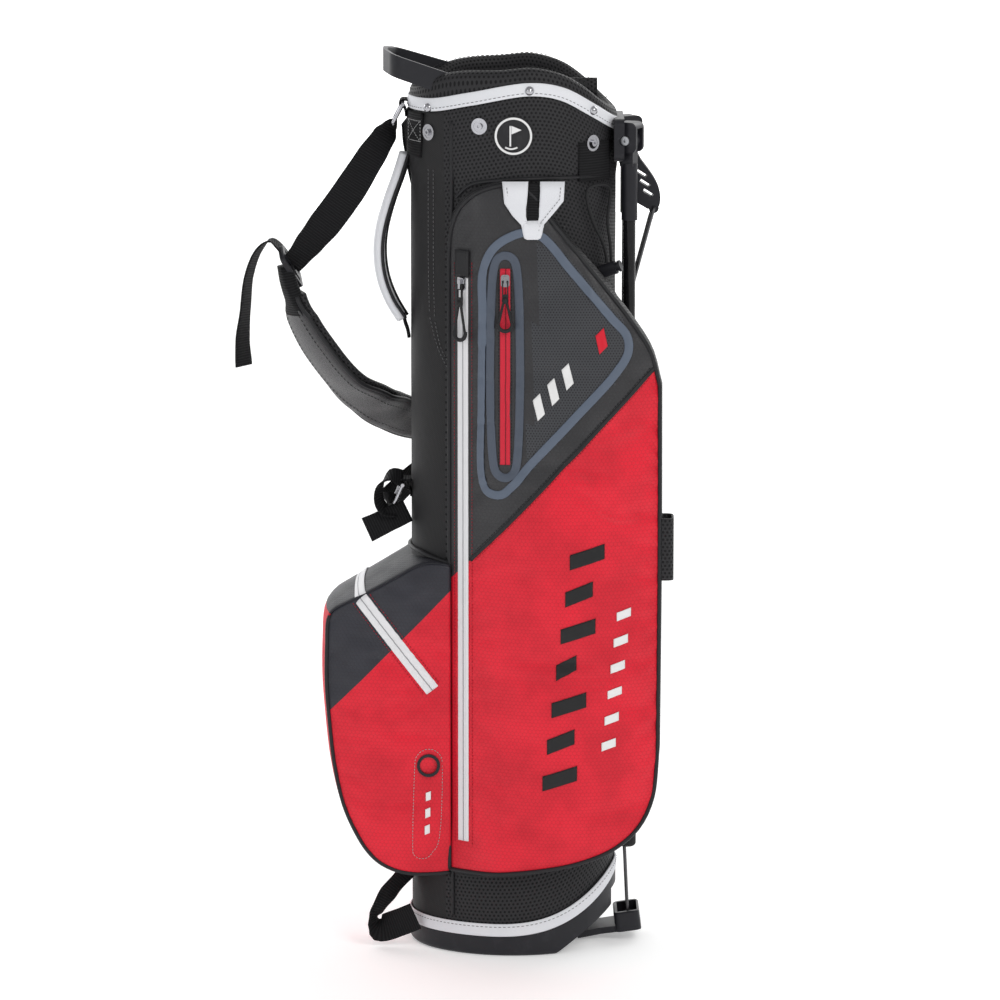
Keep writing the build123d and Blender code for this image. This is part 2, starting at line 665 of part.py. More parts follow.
def far_pocket():
    """Valuables pocket on the far side."""
    front = BODY_Y + FAR_DEPTH
    outline = [
        (FAR_LEFT, FAR_LOW + 14), (FAR_LEFT, FAR_HIGH - 40), (FAR_LEFT + 22, FAR_HIGH - 6), (FAR_LEFT + 44, FAR_HIGH),
        (FAR_RIGHT - 30, FAR_HIGH - 6), (FAR_RIGHT, FAR_HIGH - 50), (FAR_RIGHT, FAR_LOW + 24), (FAR_RIGHT - 20, FAR_LOW),
        (FAR_LEFT + 14, FAR_LOW),
    ]
    plan = [
        (FAR_LEFT, 40), (FAR_RIGHT, 40), (FAR_RIGHT, front - 14), (FAR_RIGHT - 12, front - 2), (FAR_RIGHT - 30, front),
        (FAR_LEFT + 22, front), (FAR_LEFT + 8, front - 4), (FAR_LEFT, front - 12),
    ]
    body = side_slab(outline, 40, WIDE) & plan_slab(plan, 0, TALL)
    body -= oval(CLEAR, 0, TALL)
    return body - zip_space(far_zip_line())


def far_zip_line():
    """(top, bottom, outward direction) of the valuables pocket's zip."""
    depth = BODY_Y + FAR_DEPTH
    return (FAR_LEFT + 34, depth, FAR_HIGH - 32), (FAR_LEFT + 34, depth, FAR_LOW + 36), (0, 1, 0)


def bottle_pocket():
    """Open-topped drinks pocket: a half-round wall and a floor against the tube."""
    centre = skin_depth(BOTTLE_X) + BOTTLE_R * 0.62
    outer = Pos(BOTTLE_X, centre, BOTTLE_LOW) * extrude(Circle(BOTTLE_R), BOTTLE_HIGH - BOTTLE_LOW)
    inner = Pos(BOTTLE_X, centre, BOTTLE_LOW + BOTTLE_WALL)
    inner = inner * extrude(Circle(BOTTLE_R - BOTTLE_WALL), BOTTLE_HIGH - BOTTLE_LOW)
    return outer - inner - oval(CLEAR, 0, TALL)


# ---------------------------------------------------------------- handles and straps, strap side
def grab_handle():
    """Padded grab handle that bows out from the tube, and the webbing loop at its lower end."""
    x, top = -BODY_X, BAG_HEIGHT - 93
    path = FilletPolyline(
        (x - 5.5, 0, top), (x - 30, 0, top - 72), (x - 31, 0, top - 112), (x - 6.5, 0, top - 166),
        radius=(60, 40),
    )
    grip = sweep(Plane(origin=path @ 0, z_dir=path % 0) * Circle(5.0), path=path)
    loop = Pos(x - 4, 0, top - 180) * Box(7, 14, 18) - oval(CLEAR, 0, TALL)
    return Compound([grip, loop])


def strap_anchor_top():
    """Stiff patch under the collar on the strap side. It carries the ring tab and the grab handle."""
    z = BAG_HEIGHT - 70
    patch = side_slab(
        [(-BODY_X - 4, z + 22), (-BODY_X + 18, z + 22), (-BODY_X + 8, z - 22), (-BODY_X - 4, z - 22)], -46, 46
    )
    return patch & oval_ring(3.4, CLEAR, 0, TALL)


def ring_bow(place):
    """(x, z) of the middle of a ring's bow."""
    x, z, tilt = place
    angle = math.radians(tilt)
    return x - RING_DEEP * math.sin(angle), z - RING_DEEP * math.cos(angle)


def strap_rings():
    """Two D-rings on their tabs: a straight bar along Y and a bow below it."""
    rings = []
    for x, z, tilt in (RING_TOP, RING_LOW):
        half = RING_HALF
        bow = wire([(0, -half, -1), (0, -half, -RING_DEEP), (0, half, -RING_DEEP), (0, half, -1)], 6, RING_R)
        bar = Rot(90, 0, 0) * Cylinder(RING_R, 2 * half + 2 * RING_R)
        rings.append(Pos(x, 0, z) * Rot(0, tilt, 0) * (bow + bar))
    return Compound(rings)


def fold_round(x, z, width):
    """Webbing folded once round a ring's wire."""
    fold = Cylinder(RING_R + 0.3 + WEB_THICK, width) - Cylinder(RING_R + 0.3, width + 4)
    return Pos(x, 0, z) * Rot(90, 0, 0) * fold


def ring_tabs():
    """Webbing tabs sewn to the tube and folded round each ring's straight bar."""
    tabs = []
    for x, z, tilt in (RING_TOP, RING_LOW):
        reach = -BODY_X - x
        tail = Pos((x - BODY_X) / 2 + 1, 0, z + 2.9) * Box(reach + 2, 26, WEB_THICK)
        tail += Pos(-BODY_X - 1.4, 0, z - 5) * Box(2.4, 26, 14)
        tail -= Pos(x, 0, z) * Rot(90, 0, 0) * Cylinder(RING_R + 0.3, 60)
        skin = 4.0 if z > BAG_HEIGHT / 2 else CLEAR
        tabs.append((fold_round(x, z, 26) + tail) - oval(skin, 0, TALL))
    return Compound(tabs)


def strap_webbing():
    """Upper webbing: folded round the top ring, down to the buckle, and the free tail past it."""
    x, z = ring_bow(RING_TOP)
    stations = [
        ((x - 2, 0, z - 3), (0, 1, 0), 32), ((x - 8, -1, z - 15), (0.2, 0.9, -0.2), WEB),
        ((x - 23, -3, z - 38), (0.6, 0.55, -0.5), WEB), ((x - 44, -4, z - 69), (0.72, 0.3, -0.6), WEB),
        ((x - 69, -5, z - 103), (0.72, 0.3, -0.6), WEB), ((x - 78, -5, z - 114), (0.7, 0.4, -0.6), WEB - 2),
    ]
    run = ribbon(stations, WEB_THICK) - Pos(x, 0, z) * Rot(90, 0, 0) * Cylinder(RING_R + 0.3, 60)
    tail = [
        ((x - 113, -2, z - 124), (0.2, 1, 0), 24), ((x - 122, -3, z - 118), (0.2, 1, 0), 24),
        ((x - 133, -4, z - 127), (0.3, 1, 0), 24), ((x - 143, -5, z - 152), (0.3, 0.9, 0), 24),
        ((x - 147, -6, z - 186), (0.35, 0.9, 0), 24), ((x - 150, -6, z - 217), (0.5, 0.85, 0.1), 24),
        ((x - 149, -6, z - 243), (0.6, 0.8, 0.15), 24),
    ]
    return Compound([run + fold_round(x, z, 32), ribbon(tail, WEB_THICK)])


def strap_buckle():
    """Ladder-lock buckle: a frame with two slots."""
    x, z = ring_bow(RING_TOP)
    frame = Box(42, 26, 5)
    frame = fillet(frame.edges().filter_by(Axis.Z), 5)
    frame -= Pos(0, 6.5, 0) * Box(31, 6, 10) + Pos(0, -6.5, 0) * Box(31, 6, 10)
    place = Plane(origin=(x - 102, -3, z - 144), x_dir=(0.42, 0.5, -0.76), z_dir=(-0.87, 0.1, -0.42))
    return place * frame


def strap_pad():
    """Shoulder pad: from the buckle down and round behind the tube."""
    side = (-0.3, 0.88, -0.36)
    stations = [
        ((-219, -2, 655), (-0.2, 0.95, -0.2), 38), ((-212, 0, 630), side, 54), ((-194, 5, 597), side, 60),
        ((-170, 16, 565), side, 60), ((-143, 38, 541), (-0.4, 0.75, -0.5), 60),
        ((-119, 66, 524), (-0.5, 0.5, -0.7), 58), ((-94, 96, 512), (-0.4, 0.25, -0.85), 56),
        ((-62, 118, 506), (-0.1, 0.1, -1), 50), ((-40, 124, 505), (0, 0, -1), 40),
    ]
    return loft(ribbon_frames(stations, lambda width: RectangleRounded(width, 13, 5)), ruled=True)


def strap_rear():
    """Rear webbing: from the pad's far end up round the tube's far side to the anchor patch."""
    stations = [
        ((-46, 112, 538), (1, -0.2, 0), 30), ((-56, 104, 600), (0.9, 0.4, 0), 30), ((-72, 90, 690), (0.8, 0.6, 0), 30),
        ((-92, 64, 760), (0.6, 0.8, 0), 30), ((-103, 40, 806), (0.4, 0.9, 0), 30), ((-106, 33, 826), (0.36, 0.93, 0), 26),
    ]
    return ribbon(stations, WEB_THICK) - oval(3.4 + CLEAR, 0, TALL)


def strap_lower():
    """Lower webbing: from the pad's far end back to the lower ring, and its folded tail."""
    x, z = ring_bow(RING_LOW)
    stations = [
        ((-68, 112, 470), (0, 0, 1), 25), ((-94, 86, 462), (-0.1, 0.1, 1), 25), ((-114, 50, 450), (-0.3, 0.2, 1), 25),
        ((x - 6, 22, z - 4), (-0.4, 0.6, 0.6), 25), ((x - 3, 0, z - 4), (0, 1, 0), 25),
    ]
    run = ribbon(stations, WEB_THICK) - Pos(x, 0, z) * Rot(90, 0, 0) * Cylinder(RING_R + 0.3, 90)
    tail = [
        ((x - 5, -9, z - 14), (0.2, 1, 0), 24), ((x - 16, -8, z - 6), (0.2, 1, 0), 24),
        ((x - 25, -7, z - 10), (0.2, 1, 0), 24), ((x - 28, -7, z - 24), (0.2, 1, 0), 24),
        ((x - 21, -7, z - 38), (0.2, 1, 0), 24),
    ]
    return Compound([run + fold_round(x, z, 26), ribbon(tail, WEB_THICK)])


def base_loop():
    """Webbing loop at the foot of the strap side, for lifting the bag by its base."""
    x = -BODY_X
    stations = [
        ((x - 6, -30, 75), (0.5, 0.8, 0.35), 28), ((x - 22, -34, 56), (0.5, 0.8, 0.3), 28),
        ((x - 37, -37, 34), (0.4, 0.85, 0.2), 28), ((x - 40, -38, 24), (0.2, 0.95, 0.2), 28),
        ((x - 33, -40, 17), (-0.3, 0.5, 0.8), 28), ((x - 12, -46, 24), (-0.35, 0.1, 0.9), 28),
        ((x + 4, -52, 32), (-0.3, 0.1, 0.9), 28),
    ]
    return ribbon(stations, WEB_THICK) - oval(TRIM_THICK + CLEAR, -1, TALL) - plan_slab(
        [(x - 90, -90), (x + 90, -90), (x + 90, 0), (x - 90, 0)], -50, 0.5)


# ---------------------------------------------------------------- umbrella holder


def umbrella_tab():
    """Webbing tab below the collar band with a tunnel for the elastic cord."""
    face = on_skin(UMB_X, UMB_Z, -1)
    tab = face * Pos(-3, 0, 1.6) * Box(44, 30, 3.0)
    tab = tab & oval_ring(2.8, CLEAR, 0, TALL)
    for snap in snap_places():
        tab -= snap * Cylinder(SNAP_R + 0.4, 14)
    tab -= band_between(shifted(collar_line(), -TRIM_WIDTH / 2 - CLEAR), level(TALL))
    return tab


def cord_points():
    """The elastic cord: out of the lock, up and over under the tab, and down into the lock again."""
    top_left, top_right = skin_at(UMB_X - 12, 5.5), skin_at(UMB_X + 13, 5.5)
    mid_left, mid_right = skin_at(UMB_X - 6, 5.5), skin_at(UMB_X + 8, 5.5)
    low_left, low_right = skin_at(UMB_X + 4.5, 10.5), skin_at(UMB_X + 8.5, 10.5)
    z = UMB_Z - 26
    return [
        (*low_left, z - 76), (*low_left, z - 62), (*mid_left, z - 34), (*top_left, z - 6), (*skin_at(UMB_X - 7, 5.5), z + 1),
        (*skin_at(UMB_X + 7, 5.5), z + 1), (*top_right, z - 6), (*mid_right, z - 34), (*low_right, z - 62), (*low_right, z - 76),
    ]


def skin_at(x, out):
    """(x, y) of a point out from the tube's near surface."""
    normal = skin_normal(x)
    return x + normal.X * out, -skin_depth(x) + normal.Y * out


def corner_radii(points, most=60.0, share=0.45):
    """The largest arc that each corner of a route has room for."""
    radii = []
    for before, at, after in zip(points, points[1:], points[2:]):
        a, b = Vector(at) - Vector(before), Vector(after) - Vector(at)
        turn = math.radians(a.get_angle(b))
        radii.append(min(most, share * min(a.length, b.length) / math.tan(turn / 2)))
    return radii


def umbrella_cord():
    """Elastic cord of the umbrella holder."""
    points = cord_points()
    radii = corner_radii(points)
    print("umbrella cord radii", [round(r, 1) for r in radii])
    cord = wire(points, radii, CORD_R)
    length = cord.volume / (math.pi * CORD_R**2)
    print("umbrella cord length", round(length, 1))
    return cord


def lock_place():
    """The cord lock's own frame: x across the bag, z down the cords."""
    x, y = skin_at(UMB_X + 6.5, 11.0)
    return Plane(origin=(x, y, UMB_Z - 26 - 83), x_dir=(0.9, -0.25, 0.3), z_dir=(-0.3, 0.1, 0.9))


def cord_lock_barrel():
    """Cord lock barrel: a hollow cylinder open at one end for its plunger."""
    barrel = Rot(0, 90, 0) * (Cylinder(6.6, 15) - Pos(0, 0, 2) * Cylinder(4.7, 15))
    return lock_place() * barrel


def cord_lock_plunger():
    """Plunger that a thumb presses into the barrel to free the cords."""
    plunger = Rot(0, 90, 0) * Pos(0, 0, 4.2) * Cylinder(4.5, 12)
    head = Rot(0, 90, 0) * Pos(0, 0, 11.4) * Cylinder(5.6, 2.6)
    return lock_place() * (plunger + head)


def umbrella_sleeve():
    """Open sleeve on the clothing pocket's leg-side wall, for the umbrella's shaft."""
    x, z = BODY_X + POCKET_OUT, 414.0
    outer = Pos(x + 7.5, -79, z) * Box(14, 32, 62)
    outer = fillet(outer.edges().filter_by(Axis.Z).sort_by(Axis.X)[-2:], 5)
    return outer - Pos(x + 6.6, -79, z) * Box(11, 27, 80)


# ---------------------------------------------------------------- stand
def leg_frame(side):
    """Frame at a leg's pivot: its y axis is the pin, its x axis points the way the leg swings."""
    beta = math.radians(SPLAY)
    swing = Vector(math.cos(beta), side * math.sin(beta), 0)
    origin = (BODY_X + LEG_GAP, side * LEG_HALF_SPREAD, BAG_HEIGHT - LEG_PIVOT_DROP)
    return Plane(origin=origin, x_dir=swing, z_dir=(0, 0, 1))


def stand_bracket():
    """Moulded bracket on the collar: a back plate, a hooded pair of ears per leg and two yoke lugs."""
    z = BAG_HEIGHT - LEG_PIVOT_DROP
    plate = Pos(BODY_X + 2, 0, z + 0.5) * Box(10, 92, 42)
    plate = fillet(plate.edges().filter_by(Axis.X), 8)
    bracket = plate
    for side in (-1, 1):
        frame = leg_frame(side)
        block = Pos(-1, 0, 3) * Box(24, 2 * (KNOB_HALF + EAR), 30)
        block = fillet(block.edges().filter_by(Axis.Y), 6)
        bracket += frame * block
    for side in (-1, 1):
        bracket += Pos(BODY_X + YOKE_GAP - 5, side * 13.5, BAG_HEIGHT - YOKE_DROP + 1) * Box(18, 4, 13)
    bracket += Pos(BODY_X + 6, 0, BAG_HEIGHT - YOKE_DROP + 6) * Box(8, 31, 12)
    for side in (-1, 1):
        frame = leg_frame(side)
        room = Pos(2, 0, -8) * Box(40, 2 * (KNOB_HALF + 0.3), 40)
        bracket -= frame * room
        pin = Rot(90, 0, 0) * Cylinder(PIVOT_PIN_R, 60)
        bracket -= frame * pin & frame * Box(20, 24, 20)
        bracket -= frame * Pos(0, side * (KNOB_HALF + EAR + 6.0), 0) * Rot(90, 0, 0) * Cylinder(4.9, 12)
    bracket -= Pos(BODY_X + YOKE_GAP, 0, BAG_HEIGHT - YOKE_DROP) * Rot(90, 0, 0) * Cylinder(PIVOT_PIN_R, 60)
    bracket -= Pos(BODY_X + YOKE_GAP, 0, BAG_HEIGHT - YOKE_DROP) * Rot(90, 0, 0) * Cylinder(7.2, 23)
    line = collar_line()
    trim_room = band_between(shifted(line, -TRIM_WIDTH / 2 - CLEAR), shifted(line, TRIM_WIDTH / 2 + CLEAR))
    bracket -= oval(TRIM_THICK + CLEAR, 0, TALL) & trim_room
    bracket -= oval(CLEAR, 0, TALL)
    for x, y, sz in bracket_screw_places():
        bracket -= Pos(x, y, sz) * Rot(0, 90, 0) * Cylinder(1.9, 60)
        bracket -= Pos(x + 9, y, sz) * Rot(0, 90, 0) * Cylinder(4.0, 8)
    return bracket


def bracket_screws():
    """Four screws that clamp the bracket, the tube and the collar ring together."""
    screws = []
    for x, y, z in bracket_screw_places():
        shank = rod((x - 9, y, z), (x + 5, y, z), 1.55)
        head = rod((x + 5, y, z), (x + 7.4, y, z), 3.6)
        socket = rod((x + 6, y, z), (x + 9, y, z), 1.3)
        screws.append(shank + head - socket)
    return Compound(screws)


def leg_pins():
    """The two legs' pivot screws, each with a socket head outside its near ear."""
    pins = []
    for side in (-1, 1):
        half = KNOB_HALF + EAR
        pin = Rot(90, 0, 0) * Cylinder(PIVOT_PIN_R, 2 * half)
        head = Pos(0, side * (half + 1.2), 0) * Rot(90, 0, 0) * (Cylinder(4.4, 2.4) - Cylinder(1.6, 9))
        pins.append(leg_frame(side) * (pin + head))
    return Compound(pins)


def yoke_pin():
    """Pin through the bracket's two lugs and the yoke."""
    place = Pos(BODY_X + YOKE_GAP, 0, BAG_HEIGHT - YOKE_DROP) * Rot(90, 0, 0)
    return place * Cylinder(PIVOT_PIN_R, 31)


def leg_cap(side):
    """Moulded top of a leg: a knob on the pivot and a sleeve that holds the tube."""
    knob = Rot(90, 0, 0) * Cylinder(8.5, 2 * KNOB_HALF)
    neck = Pos(0, 0, -15) * Box(12, 2 * KNOB_HALF, 22)
    sleeve = Pos(0, 0, -SLEEVE_TOP - SLEEVE_LENGTH / 2) * Cylinder(SLEEVE_R, SLEEVE_LENGTH)
    bore = Pos(0, 0, -SLEEVE_TOP - 6 - SLEEVE_LENGTH / 2) * Cylinder(LEG_R, SLEEVE_LENGTH)
    cap = knob + neck + sleeve - bore - Rot(90, 0, 0) * Cylinder(PIVOT_PIN_R + RUN, 60)
    return leg_frame(side) * cap


def leg_tube(side):
    """Aluminium leg tube, from inside the cap's sleeve into the rubber foot."""
    top = -SLEEVE_TOP - 6.0
    bottom = LEG_BOTTOM + 6 - (BAG_HEIGHT - LEG_PIVOT_DROP)
    tube = Pos(0, 0, (top + bottom) / 2) * (Cylinder(LEG_R, top - bottom) - Cylinder(LEG_R - 1.2, top - bottom + 2))
    return leg_frame(side) * tube


def leg_foot(side):
    """Rubber foot over the leg tube's end."""
    bottom = LEG_BOTTOM - (BAG_HEIGHT - LEG_PIVOT_DROP)
    foot = Pos(0, 0, bottom + 16) * Cylinder(9.0, 32)
    foot = fillet(foot.edges().sort_by(Axis.Z)[0], 4)
    foot = foot - Pos(0, 0, bottom + 26) * Cylinder(LEG_R, 40)
    return leg_frame(side) * foot


def yoke():
    """Ribbed yoke: a hub on its pin, a curved cheek with three windows and a crossbar for the wire."""
    reach, hang = YOKE_REACH, YOKE_HANG
    hub = Rot(90, 0, 0) * Cylinder(6.6, 22)
    outer = Spline((3, 0, 6), (14, 0, -9), (reach + 6, 0, -hang + 16), (reach + 5.5, 0, -hang + 2))
    inner = Polyline((reach - 6, 0, -hang - 1), (-3, 0, -hang + 9), (-6, 0, -2))
    cheek = make_face([outer, Line(outer @ 1, inner @ 0), inner, Line(inner @ 1, outer @ 0)])
    body = extrude(cheek, 10, dir=(0, 1, 0), both=True)
    for step in range(3):
        window = Pos(8 + 3.2 * step, 0, -14 - 9.5 * step) * Rot(0, 32, 0) * Box(11, 40, 3.4)
        body -= window
    body = body - Pos(-14, 0, -hang / 2) * Box(16, 40, hang)
    bar = Pos(reach, 0, -hang) * Rot(90, 0, 0) * Cylinder(5.0, 20)
    bore = Pos(reach, 0, -hang) * Rot(90, 0, 0) * Cylinder(WIRE_R + RUN, 60)
    part = hub + body + bar - bore - Rot(90, 0, 0) * Cylinder(PIVOT_PIN_R + RUN, 60)
    return Pos(BODY_X + YOKE_GAP, 0, BAG_HEIGHT - YOKE_DROP) * part


def wire_ends():
    """(x, z) of the wire's bar in the yoke, and of its bar in the foot."""
    top = (BODY_X + YOKE_GAP + YOKE_REACH, BAG_HEIGHT - YOKE_DROP - YOKE_HANG)
    rest = math.radians(FOOT_REST)
    arm, lift = FOOT_LENGTH - 10.0, 5.2
    low_x = FOOT_HINGE_X + arm * math.cos(rest) - lift * math.sin(rest)
    low_z = FOOT_HINGE_Z + arm * math.sin(rest) + lift * math.cos(rest)
    return top, (low_x, low_z)


def actuator_wire():
    """Spring wire: a bar through the yoke, two long runs down the leg side and a bar in the foot."""
    (top_x, top_z), (low_x, low_z) = wire_ends()
    near = BODY_X + 7.0
    points = [
        (top_x, 0, top_z), (top_x, -WIRE_HALF, top_z), (top_x - 4, -WIRE_HALF, top_z - 14),
        (near + 3, -WIRE_HALF, top_z - 100), (near, -WIRE_HALF, top_z - 200), (near, -WIRE_HALF, low_z + 150),
        (low_x - 1, -WIRE_HALF, low_z + 12), (low_x, -WIRE_HALF, low_z), (low_x, 0, low_z),
    ]
    half = wire(points, (3.2, 20, 80, 200, 200, 20, 3.2), WIRE_R)
    return half + mirrored(half)


# ---------------------------------------------------------------- write every piece
def main():
    os.makedirs("parts", exist_ok=True)
    frame = collar_frame()
    pieces = {
        "base_cup": base_cup(),
        "base_trim": base_trim(),
        "foot_hinge_pin": foot_hinge_pin(),
        "base_foot": base_foot(),
        "body_shell": body_shell(),
        "stay_rods": stay_rods(),
        "divider_sheets": divider_sheets(),
        "collar_frame": frame,
        "collar_pad": collar_pad(frame),
        "collar_trim": collar_trim(),
        "collar_rivets": collar_rivets(),
        "hood_snaps": hood_snaps(),
        "divider_bars": divider_bars(),
        "badge": badge(),
        "apparel_pocket": apparel_pocket(),
        "towel_tab": towel_tab(),
        "ball_pocket": ball_pocket(),
        "ball_zip_tape": ball_zip_tape(),
        "pen_grommet": pen_grommet(),
        "far_pocket": far_pocket(),
        "bottle_pocket": bottle_pocket(),
        "grab_handle": grab_handle(),
        "strap_anchor_top": strap_anchor_top(),
        "strap_rings": strap_rings(),
        "ring_tabs": ring_tabs(),
        "strap_webbing": strap_webbing(),
        "strap_buckle": strap_buckle(),
        "strap_pad": strap_pad(),
        "strap_rear": strap_rear(),
        "strap_lower": strap_lower(),
        "base_loop": base_loop(),
        "umbrella_tab": umbrella_tab(),
        "umbrella_cord": umbrella_cord(),
        "cord_lock_barrel": cord_lock_barrel(),
        "cord_lock_plunger": cord_lock_plunger(),
        "umbrella_sleeve": umbrella_sleeve(),
        "stand_bracket": stand_bracket(),
        "bracket_screws": bracket_screws(),
        "leg_pins": leg_pins(),
        "yoke": yoke(),
        "yoke_pin": yoke_pin(),
        "actuator_wire": actuator_wire(),
    }
    zips = {
        "apparel_zip": (apparel_zip_line(), 0.035, 58),
        "phone_zip": (phone_zip_line(), 0.06, 52),
        "far_zip": (far_zip_line(), 0.04, 52),
        "ball_zip": (ball_zip_line(), 0.93, 46),
    }
    for name, (line, at, length) in zips.items():
        if name != "ball_zip":
            pieces[name + "_tape"] = zip_tape(line)
        pieces[name + "_slider"] = zip_slider(line, at)
        pieces[name + "_pull"] = zip_pull(line, at, length)
        place = zip_frame(line, at)
        print(name, "slider at", place.origin, "along", place.y_dir, "out", place.z_dir, "length", zip_length(line))
        print(name, "pull pivot", pull_axis(line, at))
    for name, side in (("near", -1), ("far", 1)):
        pieces["leg_cap_" + name] = leg_cap(side)
        pieces["leg_tube_" + name] = leg_tube(side)
        pieces["leg_foot_" + name] = leg_foot(side)
    for name, piece in pieces.items():
        export_step(piece, f"parts/{name}.step")
    print(len(pieces), "pieces")


main()
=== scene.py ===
"""Looks of the golf stand bag: sewn panels, padding, webbing, zips and finishes around the fixed frame.

Shapes are written in millimetres, in the frame's own axes, and turned into metres where a mesh is made.
The strap side faces -X, the legs +X, the clothing pocket -Y, and +Z is up.
"""

import math

import bpy
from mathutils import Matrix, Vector, noise
from mathutils.bvhtree import BVHTree


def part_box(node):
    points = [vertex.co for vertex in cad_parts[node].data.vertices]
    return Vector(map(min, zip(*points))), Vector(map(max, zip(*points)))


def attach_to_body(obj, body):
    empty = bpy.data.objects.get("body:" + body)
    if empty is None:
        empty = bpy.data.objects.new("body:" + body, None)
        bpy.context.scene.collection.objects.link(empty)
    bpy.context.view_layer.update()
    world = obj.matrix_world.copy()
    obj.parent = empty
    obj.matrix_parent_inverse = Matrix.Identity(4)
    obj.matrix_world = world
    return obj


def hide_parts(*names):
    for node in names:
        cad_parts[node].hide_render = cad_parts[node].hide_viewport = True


MM = 0.001

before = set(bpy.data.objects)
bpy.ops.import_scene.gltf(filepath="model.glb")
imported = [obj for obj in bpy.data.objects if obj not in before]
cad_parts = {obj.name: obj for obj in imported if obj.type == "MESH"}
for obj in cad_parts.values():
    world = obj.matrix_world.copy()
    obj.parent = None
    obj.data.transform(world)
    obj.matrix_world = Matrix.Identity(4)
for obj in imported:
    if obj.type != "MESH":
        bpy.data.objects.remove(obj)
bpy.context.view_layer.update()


def node_box(node):
    """A frame node's lowest and highest corners in millimetres."""
    return [Vector(corner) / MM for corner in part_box(node)]


# ---------------------------------------------------------------- sizes taken from the frame
TUBE_X, TUBE_Y, _ = node_box("body_shell")[1]
TALL = node_box("collar_pad")[1].z  # the rim's highest point
BASE_LOW = node_box("base_trim")[0].z  # the base cup's edge on the strap side
POCKET_LOW, POCKET_HIGH = node_box("apparel_pocket")
BALL_LOW, BALL_HIGH = node_box("ball_pocket")
SEAM_X = POCKET_LOW.x  # the upright seam that both pockets share
TRIM_WIDE = 13.0
END_SHARE = 0.91  # the tube's outline is four tangent arcs
END_R = END_SHARE * min(TUBE_X, TUBE_Y)
END_X = TUBE_X - END_R
SIDE_R = (END_X**2 + TUBE_Y**2 - END_R**2) / (2 * (TUBE_Y - END_R))
SIDE_Y = SIDE_R - TUBE_Y
TURN = math.atan2(SIDE_Y, END_X)


# ---------------------------------------------------------------- camera, floor and light
def studio():
    """Pale floor, soft light and the camera."""
    scene = bpy.context.scene
    scene.view_settings.view_transform = "Standard"
    eye, aim = Vector((-0.013, -5.4, 1.4)), Vector((-0.013, 0, 0.447))
    lens = bpy.data.cameras.new("camera")
    lens.lens, lens.sensor_width, lens.clip_end = 197.4, 36.0, 40.0
    camera = bpy.data.objects.new("camera", lens)
    camera.location = eye
    camera.rotation_euler = (aim - eye).to_track_quat("-Z", "Y").to_euler()
    scene.collection.objects.link(camera)
    scene.camera = camera

    wide = 9.0
    for name, corners, glow in (
        ("floor", [(-wide, -wide, 0), (wide, -wide, 0), (wide, 6, 0), (-wide, 6, 0)], 0.3),
        ("backdrop", [(-wide, 6, -1), (wide, 6, -1), (wide, 6, 8), (-wide, 6, 8)], 1.0),
    ):
        sheet = bpy.data.meshes.new(name)
        sheet.from_pydata(corners, [], [(0, 1, 2, 3)])
        ground = bpy.data.objects.new(name, sheet)
        scene.collection.objects.link(ground)
        paper = Finish(name, (0.9, 0.9, 0.9), 0.9, emission_color=(1.0, 1.0, 1.0), emission_strength=glow)
        ground.data.materials.append(paper.material)

    world = bpy.data.worlds.new("studio")
    world.use_nodes = True
    world.node_tree.nodes["Background"].inputs["Color"].default_value = (1, 1, 1, 1)
    world.node_tree.nodes["Background"].inputs["Strength"].default_value = 0.5
    scene.world = world
    lamps = (
        ("key", (1.5, -2.2, 2.3), 1.3, 26, (1.0, 0.99, 0.97)),
        ("fill", (-2.0, -2.4, 1.3), 1.6, 9, (0.97, 0.98, 1.0)),
        ("rim", (1.4, 1.8, 1.9), 1.2, 12, (1.0, 1.0, 1.0)),
        ("back", (-1.6, 1.6, 1.6), 1.4, 10, (1.0, 1.0, 1.0)),
    )
    for name, place, size, power, tint in lamps:
        light = bpy.data.lights.new(name, "AREA")
        light.size, light.energy, light.color = size, power, tint
        lamp = bpy.data.objects.new(name, light)
        lamp.location = place
        lamp.rotation_euler = (Vector((0, 0, 0.5)) - Vector(place)).to_track_quat("-Z", "Y").to_euler()
        scene.collection.objects.link(lamp)


# ---------------------------------------------------------------- shader sums
class Link:
    """A shader value that can be used in sums and comparisons."""

    def __init__(self, finish, socket):
        self.finish = finish
        self.socket = socket

    def __add__(self, other):
        return self.finish.math("ADD", self, other)

    def __radd__(self, other):
        return self.finish.math("ADD", other, self)

    def __sub__(self, other):
        return self.finish.math("SUBTRACT", self, other)

    def __rsub__(self, other):
        return self.finish.math("SUBTRACT", other, self)

    def __mul__(self, other):
        return self.finish.math("MULTIPLY", self, other)

    def __rmul__(self, other):
        return self.finish.math("MULTIPLY", other, self)

    def __truediv__(self, other):
        return self.finish.math("DIVIDE", self, other)

    def __gt__(self, other):
        return self.finish.math("GREATER_THAN", self, other)

    def __lt__(self, other):
        return self.finish.math("LESS_THAN", self, other)

    def __abs__(self):
        return self.finish.math("ABSOLUTE", self)

    def fract(self):
        return self.finish.math("FRACT", self)

    def sine(self):
        return self.finish.math("SINE", self)

    def least(self, other):
        return self.finish.math("MINIMUM", self, other)

    def ramp(self, low, high):
        """0 below low, 1 above high and a smooth step between."""
        stops = {"interpolation_type": "SMOOTHSTEP"}
        return self.finish.node("ShaderNodeMapRange", stops,
                                {"Value": self, "From Min": low, "From Max": high})["Result"]


class Outputs:
    """A node's outputs by name."""

    def __init__(self, finish, node):
        self.finish = finish
        self.node = node

    def __getitem__(self, name):
        return Link(self.finish, self.node.outputs[name])


